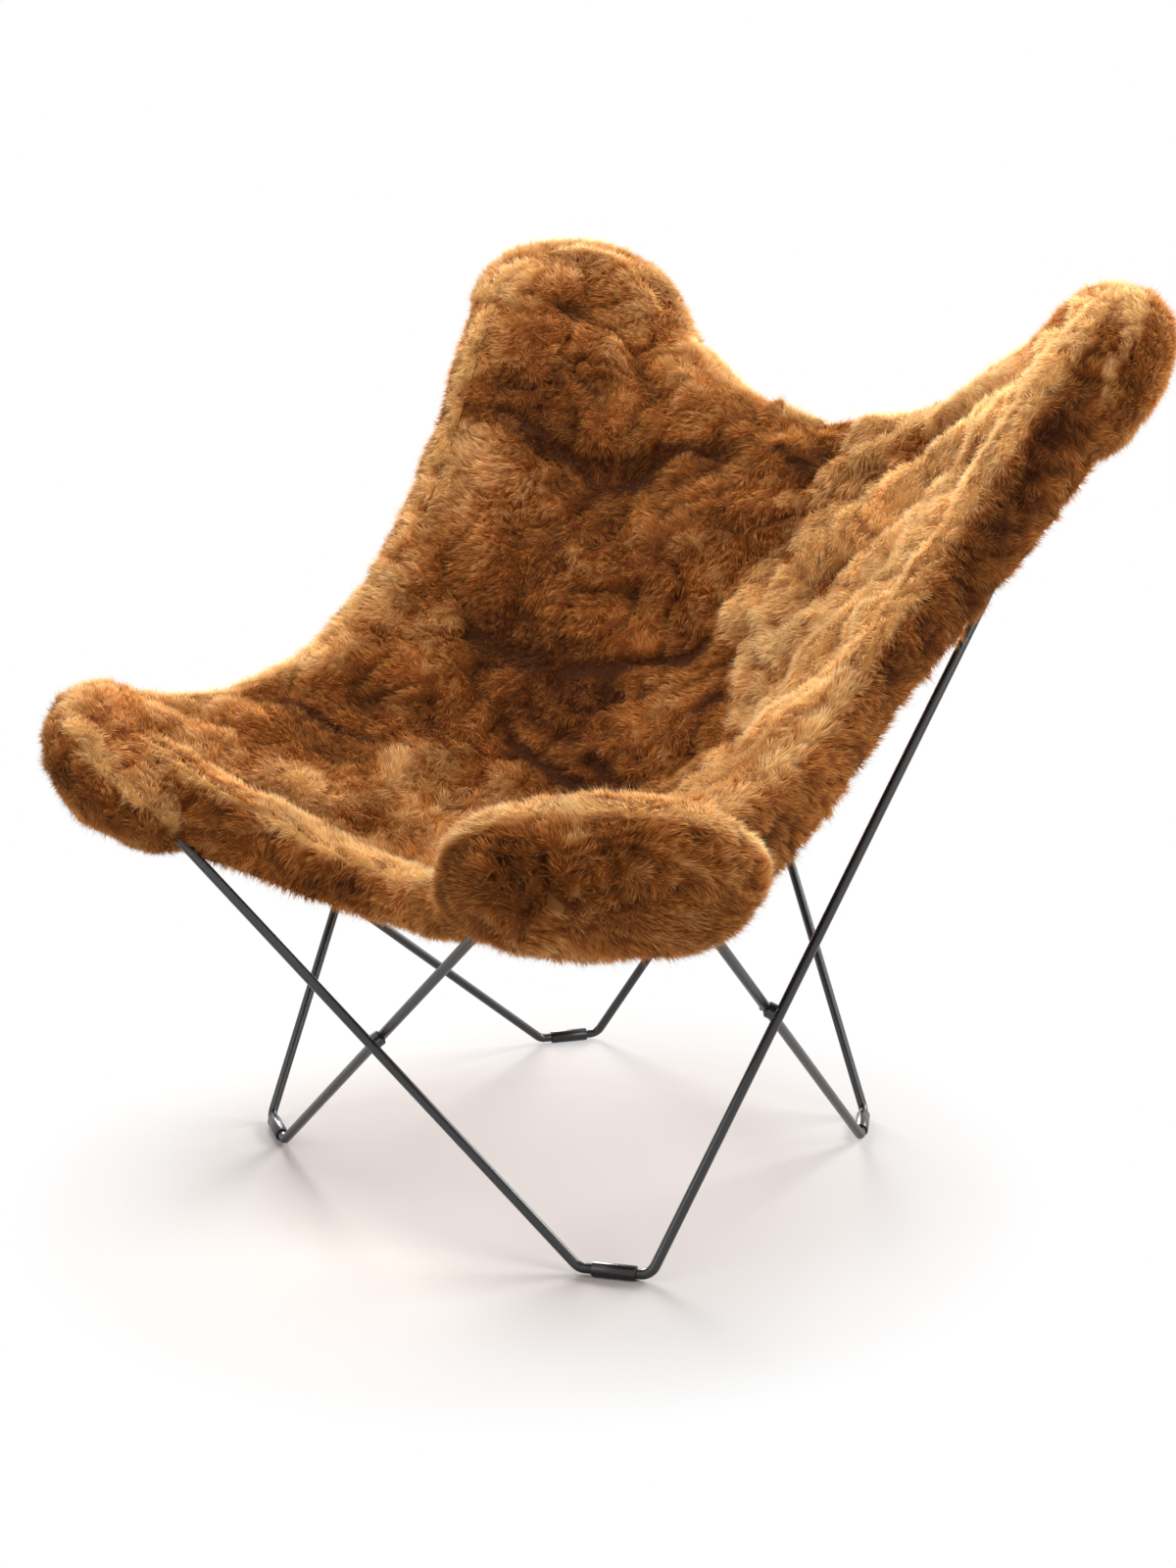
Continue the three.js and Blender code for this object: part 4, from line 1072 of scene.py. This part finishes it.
def hide(name, a0, a1, b0, b1, count, slot):
    """One piece of the cover, from a0 to a1 across it and from b0 to b1 along it."""
    nu = max(int((a1 - a0) * GRID_SCALE[0] / STEP), 8)
    nv = max(int((b1 - b0) * GRID_SCALE[1] / STEP), 8)
    across, along = np.meshgrid(np.linspace(a0, a1, nu), np.linspace(b0, b1, nv), indexing="ij")
    flat = cover_spot(across, along, 0.0) + SHIFT
    normal = cover_normal(across, along)
    dip = bell(seam_way(across, along) / SEAM_HALF) * SEAM_DIP
    fold = fold_rise(across, along)
    parting = creases(flat, across, along)
    gold = gold_share(flat, across, along)
    swell, shade = relief(flat, 1 - gold * 0.7)
    rise = fold + swell - dip - parting * PARTING_DEPTH
    # Painted shade in folds and partings and painted light on swells, over the areas' tone; the pale
    # hide's gold is its own colour
    tones = HIDE_TONE + area_tone(across, along) + shade + fold * FOLD_PAINTED_SHADE
    tones = tones - parting * PARTING_PAINTED_SHADE + gold * GOLD_TONE
    if name == "fur_back_left":
        over = over_patch(across, along)
        rise = rise + over * PATCH_RISE
        tones = tones - (1 - over) * over_patch(across, along + 0.02) * PATCH_SHADOW
    if name == "fur_back_right":
        lines = wrinkles(flat) * gold
        rise = rise + lines
        # Painted shade in the grooves of the wrinkles, and the pale hide a little paler in its own
        # colour
        tones = tones + lines * WRINKLE_PAINTED_SHADE + gold * 0.08

    # The relief fades at the edges of the cover, where the hems lie over it
    edge = np.minimum(1 - np.abs(across), np.minimum(along, 1 - along) * 2.6)
    level = np.minimum(swell, MOST_SWELL)
    rise = level + (rise - level) * smoothstep(edge, 0.0, 0.06)
    rise = np.maximum(rise, SKIN_DEPTH - PILE + 0.003)
    top = flat + normal * (rise - SKIN_DEPTH)[..., None]
    bottom = flat - normal * (PILE - HIDE_GAP)
    verts, furred, bare = slab(top, bottom)

    # The nap runs to the front, and outwards near the sides
    toward = -unit(np.gradient(flat, axis=1)) * (smoothstep(1 - along, 0.0, 0.05) * 2 - 1)[..., None]
    sideways = unit(np.gradient(flat, axis=0)) * across[..., None]
    outwards = (0.4 + 1.4 * smoothstep(np.abs(across), 0.88, 1.0))[..., None]
    naps = twice(unit(toward * 0.9 + sideways * outwards))
    depth = SKIN_DEPTH * (1 - 0.6 * np.minimum(twice(parting), 1))
    pelt(name, verts, furred, bare, slab_map(nu, nv), naps, depth, twice(tones), count, slot, 0.55)


hide("fur_seat_left", -1, CENTRE_SEAM, 0, CROSS_SEAM, 92000, "fur_brown")
hide("fur_seat_right", CENTRE_SEAM, 1, 0, CROSS_SEAM, 66000, "fur_brown")
hide("fur_back_left", -1, CENTRE_SEAM, CROSS_SEAM, 1, 98000, "fur_brown")
hide("fur_back_right", CENTRE_SEAM, 1, CROSS_SEAM, 1, 74000, "fur_gold")


def hem(name, sideways, end, drop, drops, count, flare=0.0, belly=0.0, low=0.0):
    """The rolled edge: over the top, round the outside and back under the leather."""
    under = -PILE - LEATHER_THICKNESS - HIDE_GAP
    centre = -PILE - LEATHER_THICKNESS / 2
    turns = np.radians(np.linspace(*ROLL_ANGLES, ROLL_STEPS))
    reach = np.where(turns > 0, -centre, centre - under)
    past = -centre * np.cos(turns) + flare * np.cos(turns / 2 + math.pi / 4)
    height = centre + reach * np.sin(turns)
    hang = np.minimum(np.sin(turns), 0)
    steps = np.linspace(0, 1, BAND_STEPS)[1:]
    past = np.concatenate([past, flare / 2 * (1 - steps) ** 2])
    height = np.concatenate([height, np.full(len(steps), under)])
    hang = np.concatenate([hang, -np.interp(steps, *BAND_HANG)])
    back = np.concatenate([np.zeros(len(turns)), steps * (SIDE_BAND if sideways else END_BAND)])
    run = np.linspace(*HEM_ENDS, 190 if sideways else 150)
    if not sideways:
        run = run * 2 - 1
    hung = drop * np.interp(np.abs(run), *drops)
    window = 2 * HEM_EVENED + 1
    hung = np.convolve(np.pad(hung, HEM_EVENED, "edge"), np.ones(window) / window, "valid")
    runs, at = np.meshgrid(run, np.arange(len(past)), indexing="ij")
    edge_back = back[at]
    if sideways:
        spot = (end * (1 - edge_back * 2), runs)
    else:
        spot = (runs, edge_back if end == 0 else 1 - edge_back)
    near_tips, near_rods = (bell((np.abs(runs) - place_at) / 0.12) for place_at in (0.8, 0.7))
    tall = height[at] + hang[at] * (hung[:, None] + low * near_rods)
    rolled = at < len(turns)
    bulged = past[at] + belly * near_tips * np.where(rolled, 1 - np.abs(hang[at] + 0.4) ** 2, 0)
    outer = cover_spot(*spot, tall, bulged, sideways) + SHIFT

    # The inner side follows the edge of the hides and the leather
    steps = np.arange(len(past)) / (len(turns) - 1)
    inner_height = np.where(steps < 1, -0.012 + (under + 0.012) * steps, under)
    inner = cover_spot(*spot, inner_height[at], np.where(rolled, HEM_SEAM, 0.0), sideways) + SHIFT
    normals = unit(np.cross(np.gradient(outer, axis=0), np.gradient(outer, axis=1)))
    side = np.sum(normals * (outer - inner), -1).mean()
    normals = normals if side > 0 else -normals
    swell, shade = relief(outer)
    wide = np.linalg.norm(outer - inner, axis=-1)
    depth = np.clip(wide * 0.5, 0.002, SKIN_DEPTH)
    top = outer + normals * (np.minimum(swell, MOST_SWELL) - depth)[..., None]
    verts, furred, bare = slab(top, inner)
    nap = unit(np.gradient(outer, axis=1)) * (smoothstep(at, 0, 5) * 1.7 - 0.7)[..., None]
    crest, face = (bell((at - middle) / half) for middle, half in (HEM_CREST, HEM_FACE))
    # Painted light along the crest of the roll and painted shade on its outer face
    tones = HEM_TONE + crest * HEM_CREST_PAINTED_LIGHT - face * HEM_FACE_PAINTED_SHADE + shade
    # More painted shade on the face of the right hem, part way along it
    if name == "fur_hem_right":
        tones = tones - face * 0.22 * smoothstep(runs, 0.4, 0.5) * (1 - smoothstep(runs, 0.68, 0.8))
    pelt(name, verts, furred, bare, slab_map(*at.shape), twice(nap), twice(depth), twice(tones),
         count, "fur_brown", 0.7)


hem("fur_hem_left", True, -1, SIDE_DROP, SIDE_DROPS, 62000, flare=SIDE_FLARE)
hem("fur_hem_right", True, 1, SIDE_DROP, SIDE_DROPS, 66000, flare=SIDE_FLARE)
hem("fur_hem_front", False, 0, FRONT_DROP, FRONT_DROPS, 44000, belly=0.018, low=0.014)
hem("fur_hem_back", False, 1, BACK_DROP, EVEN_DROPS, 36000)


def cube_sphere(n):
    """Points and square faces of a ball made from a cube."""
    t = np.tan(np.linspace(-math.pi / 4, math.pi / 4, n + 1))
    u, v = np.meshgrid(t, t, indexing="ij")
    one = np.ones_like(u)
    sides = [(one, u, v), (-one, v, u), (v, one, u), (u, -one, v), (u, v, one), (v, u, -one)]
    points = np.concatenate([np.stack(s, -1).reshape(-1, 3) for s in sides])
    count = (n + 1) ** 2
    index = np.arange(count).reshape(n + 1, n + 1)
    faces = np.concatenate([grid_faces(index) + k * count for k in range(6)])
    keys = np.round(points * 1e6).astype(np.int64)
    _, first, same = np.unique(keys, axis=0, return_index=True, return_inverse=True)
    side, spot = faces // count, faces % count
    places = np.stack([(spot // (n + 1) / n * 0.96 + 0.02 + side % 2) / 2,
                       (spot % (n + 1) / n * 0.96 + 0.02 + side // 2) / 3], -1)
    return unit(points[first]), same.reshape(-1)[faces], places


def rounded(ball, half, axes):
    """Rounded box of given half sizes on three axes, from the points of a ball."""
    return np.sign(ball) * np.abs(ball) ** (PAD_ROUNDNESS, PAD_ROUNDNESS, 1.0) * half @ axes


def pocket(name, count):
    """The furry pocket that a bow sits in."""
    across, along, through, down, sink, shift = PADS[name]
    bow, axes = TIPS[name]
    ball, faces, places = cube_sphere(PAD_STEPS)
    half = np.array([across, along, through]) + PAD_FULLER
    shape = rounded(ball, half, axes)
    top = shape + (bow + axes[1] * down - axes[2] * (sink + PAD_FULLER)
                   + axes[0] * shift * np.sign(bow[0] * axes[0][0]) + SHIFT)
    normals = unit(ball / half @ axes)
    swell, shade = relief(top)
    skin = top + normals * (np.minimum(swell, MOST_SWELL) - SKIN_DEPTH)[:, None]
    spin = unit(np.cross(normals, np.broadcast_to(axes[2], normals.shape)))
    nap = unit(unit(beside(shape, normals)) * 0.8 + spin * 0.5 - axes[1] * 0.3)
    upward = normals @ axes[2]
    # Painted light on the pocket's upper crest and painted shade on its lower face
    crest = bell((upward - 0.55) / 0.26)
    face = 1 - smoothstep(upward, -0.1, 0.4)
    tones = POCKET_TONE + crest * POCKET_CREST_PAINTED_LIGHT - face * POCKET_FACE_PAINTED_SHADE + shade
    pelt("fur_pocket_" + name, skin, faces, np.zeros((0, 4), int),
         [on_part(places, TOP_PART), np.zeros((0, 4, 2))], nap, np.full(len(skin), SKIN_DEPTH),
         tones, count, "fur_dark", 0.8)


for name in PADS:
    pocket(name, 44000)


def tree_of(p):
    faces = np.concatenate([p["furred"], p["bare"]])
    return BVHTree.FromPolygons(p["verts"].tolist(), faces.tolist())


TREES = {p["name"]: tree_of(p) for p in PELTS}
BOXES = {p["name"]: (p["verts"].min(0) - BOX_ROOM, p["verts"].max(0) + BOX_ROOM) for p in PELTS}


def clear_of_others(p, roots, normals):
    """Which places on a skin aren't under or inside another skin."""
    free = np.ones(len(roots), bool)
    for other, tree in TREES.items():
        if other == p["name"]:
            continue
        low, high = BOXES[other]
        near = np.flatnonzero(free & np.all((roots > low) & (roots < high), axis=1))
        for i in near:
            start = Vector(roots[i])
            way = Vector(normals[i])
            place_hit, normal_hit, _, distance = tree.ray_cast(start, way, FAR_OFF)
            if place_hit is not None:
                inside = normal_hit.dot(way) > 0
                if inside or distance < FREE_HEIGHT:
                    free[i] = False
    return free


def tone_of(points, tones):
    """From 0, dark, to 1, pale gold, with 0.5 as plain brown."""
    mottle = noise(points, 0.11) * 0.12 + noise_b(points, 0.04) * 0.12 + noise(points, 0.015) * 0.07
    return np.clip(tones + mottle, 0, 1)


def cloud(points):
    """How bright the pile is at a place: broad clouds and fine ones."""
    return np.clip(0.98 + noise(points, 0.03) * 0.16 + noise_b(points, 0.011) * 0.1, 0.8, 1.14)


def blade_places(tone, bright):
    """Blades of like colour share a cell of the colour map, from the root up to the tip."""
    ranks = [np.argsort(np.argsort(q)) * BLADE_CELLS // len(q) for q in (tone, bright)]
    cell = np.stack(ranks, -1)[:, None, :]
    corners = np.array([[0.1, 0.1], [0.9, 0.1], [0.5, 0.9]])
    return on_part((cell + corners) / BLADE_CELLS, BLADE_PART)


def colour_map(ob, places):
    layer = ob.data.uv_layers.new(name="OFBake")
    flat = np.concatenate([q.reshape(-1) for q in places])
    layer.data.foreach_set("uv", flat.astype(np.float32))


def tufts(roots, rng):
    """The middle of the tuft that each blade leans to, and the tuft's own random values."""
    count = max(len(roots) // BLADES_IN_TUFT, 8)
    middles = roots[rng.choice(len(roots), count, replace=False)]
    tree = KDTree(count)
    for i, middle in enumerate(middles.tolist()):
        tree.insert(middle, i)
    tree.balance()
    pick = np.array([tree.find(root)[1] for root in roots.tolist()])
    return middles[pick], rng.random((count, 5))[pick]


def grow(p):
    """Adds the blades of the pile to a skin and makes the piece."""
    rng = np.random.default_rng(len(p["name"]) * 1000 + p["count"])
    verts, furred = p["verts"], p["furred"]
    tris = np.concatenate([furred[:, [0, 1, 2]], furred[:, [0, 2, 3]]])
    a, b, c = (verts[tris[:, k]] for k in range(3))
    area = np.linalg.norm(np.cross(b - a, c - a), axis=1) / 2
    count = p["count"]
    pick = rng.choice(len(tris), count, p=area / area.sum())
    share = rng.random((count, 2))
    over = share.sum(1) > 1
    share[over] = 1 - share[over]
    weights = np.stack([1 - share.sum(1), share[:, 0], share[:, 1]], 1)

    def spread(values):
        return np.einsum("ij,ij...->i...", weights, values[tris[pick]])

    roots = spread(verts)
    normals = unit(spread(p["normals"]))
    free = clear_of_others(p, roots, normals)
    roots, normals = roots[free], normals[free]
    naps, depth, tones = (spread(p[key])[free] for key in ("naps", "depth", "tones"))
    n = len(roots)
    middles, own = tufts(roots, rng)
    lean = naps * NAP_LEAN
    for step, size, much in LEAN_NOISES:
        lean = lean + NAP.at(roots + step, size) * much
    lean = lean + (own[:, :3] - 0.5) * TUFT_LEAN + rng.normal(0, OWN_LEAN, (n, 3))
    lean = beside(lean, normals)
    size = np.linalg.norm(lean, axis=1, keepdims=True)
    way = unit(normals * 0.72 + lean / (size + 0.3))
    guard = rng.random(n) < GUARD_SHARE
    tall = depth * rng.uniform(0.8, 1.15, n) * (0.88 + 0.26 * own[:, 3])
    tall = tall * np.where(guard, GUARD_LENGTH, 1)
    length = np.minimum(tall / np.maximum(np.sum(way * normals, 1), 0.4), LONGEST_BLADE)
    width = rng.uniform(*BLADE_WIDTHS, n) * np.where(guard, GUARD_WIDTH, 1)
    start = roots - normals * ROOT_BELOW
    end = start + way * length[:, None] + beside(middles - roots, normals) * TUFT_PULL
    side = unit(np.cross(way, normals + rng.normal(0, 0.2, (n, 3))))
    spin = rng.uniform(-1.0, 1.0, n)[:, None]
    side = side * np.cos(spin) + np.cross(way, side) * np.sin(spin)
    side = side * width[:, None] * 0.5
    blade = np.stack([start - side, start + side, end], 1)
    blades = len(verts) + np.arange(3 * n).reshape(n, 3)
    all_verts = np.concatenate([verts, blade.reshape(-1, 3)])
    ob = make_mesh("pile_" + p["name"], all_verts, [furred, p["bare"], blades])
    facing = unit(np.cross(way, side))
    facing = facing * np.sign(np.sum(facing * normals, 1, keepdims=True))
    soft = np.repeat(unit(normals * 0.7 + facing * 0.5), 3, axis=0)
    ob.data.normals_split_custom_set_from_vertices(np.concatenate([p["normals"], soft]).tolist())
    tone = tone_of(roots, tones)
    bright = (0.84 + own[:, 4] * 0.13 + rng.random(n) * 0.2) * cloud(roots)
    skin_bright = cloud(verts) * 0.944
    add_values(ob, "tip", np.concatenate([np.full(len(verts), 0.12), np.tile([0.0, 0.0, 1.0], n)]))
    add_values(ob, "bright", np.concatenate([skin_bright, np.repeat(bright, 3)]))
    add_values(ob, "tone", np.concatenate([tone_of(verts, p["tones"]), np.repeat(tone, 3)]))
    colour_map(ob, [*p["places"], blade_places(tone, bright)])
    place(ob, "fur", p["slot"], p["name"])


for p in PELTS:
    grow(p)


def sling():
    """The leather, with a welt along each of its two seams."""
    across, along = np.meshgrid(np.linspace(-1, 1, 130), np.linspace(0, 1, 140), indexing="ij")
    welt = bell(seam_way(across, along) / 0.004) * 0.0008
    top = cover_spot(across, along, -PILE) + SHIFT
    drape = noise(top, 0.16) * 0.0008
    under = LEATHER_THICKNESS * 0.86 + welt - drape * 0.2
    bottom = top - cover_normal(across, along) * under[..., None]
    verts, upper, rest = slab(top, bottom)
    solid = verts, outward(verts, [upper, rest])
    return piece("suede_sling", solid, "leather", "suede", "leather_sling")


leather = sling()


def lining(name):
    """The folded leather that wraps a bow inside its pocket."""
    bow, axes = TIPS[name]
    half = np.array([PADS[name][0] * LINING_ACROSS, PADS[name][1] * LINING_ALONG,
                     LINING_HALF_THICKNESS])
    ball, faces, _ = cube_sphere(LINING_STEPS)
    verts = rounded(ball, half, axes) + (bow + axes[1] * (half[1] - LINING_PAST_BOW) + SHIFT)
    ruck = noise(verts, 0.03) * 0.0006 + noise_b(verts, 0.012) * 0.0003
    verts = verts + (ball @ axes) * (ruck + 0.0006)[:, None]
    solid = verts, outward(verts, [faces])
    ob = piece("suede_lining_" + name, solid, "leather", "suede", "pocket_lining_" + name)


for name in PADS:
    lining(name)


# Stitches: half sizes of one, how far they lie beside a seam, and the two rows of them
STITCH = np.array([0.0021, 0.0005, 0.0007])
STITCH_OFFSET = 0.0045
ALONG_CENTRE, ALONG_CROSS = np.linspace(0.2, 0.8, 96), np.linspace(-0.62, 0.7, 92)


def stitches():
    """Rows of thread beside the two seams on the underside of the leather."""
    rows = []
    for way in (-STITCH_OFFSET, STITCH_OFFSET):
        rows.append((CENTRE_SEAM + way / HALF_WIDTH, ALONG_CENTRE))
        rows.append((ALONG_CROSS, CROSS_SEAM + way / (HEIGHT + DEPTH)))
    ball, faces, _ = cube_sphere(3)
    all_verts, all_faces = [], []
    for across, along in rows:
        across, along = np.broadcast_arrays(np.atleast_1d(across), np.atleast_1d(along))
        spots = cover_spot(across, along, -PILE - LEATHER_THICKNESS * 0.9) + SHIFT
        normal = cover_normal(across, along)
        run = unit(np.gradient(spots, axis=0))
        side = unit(np.cross(normal, run))
        for spot, axis in zip(spots, np.stack([run, side, normal], 1)):
            thread = ball * STITCH @ axis + spot
            all_faces.append(faces + len(ball) * len(all_verts))
            all_verts.append(thread)
    verts = np.concatenate(all_verts)
    ob = make_mesh("sling_stitches", verts, outward(verts, [np.concatenate(all_faces)]))
    place(ob, "thread", None)


stitches()
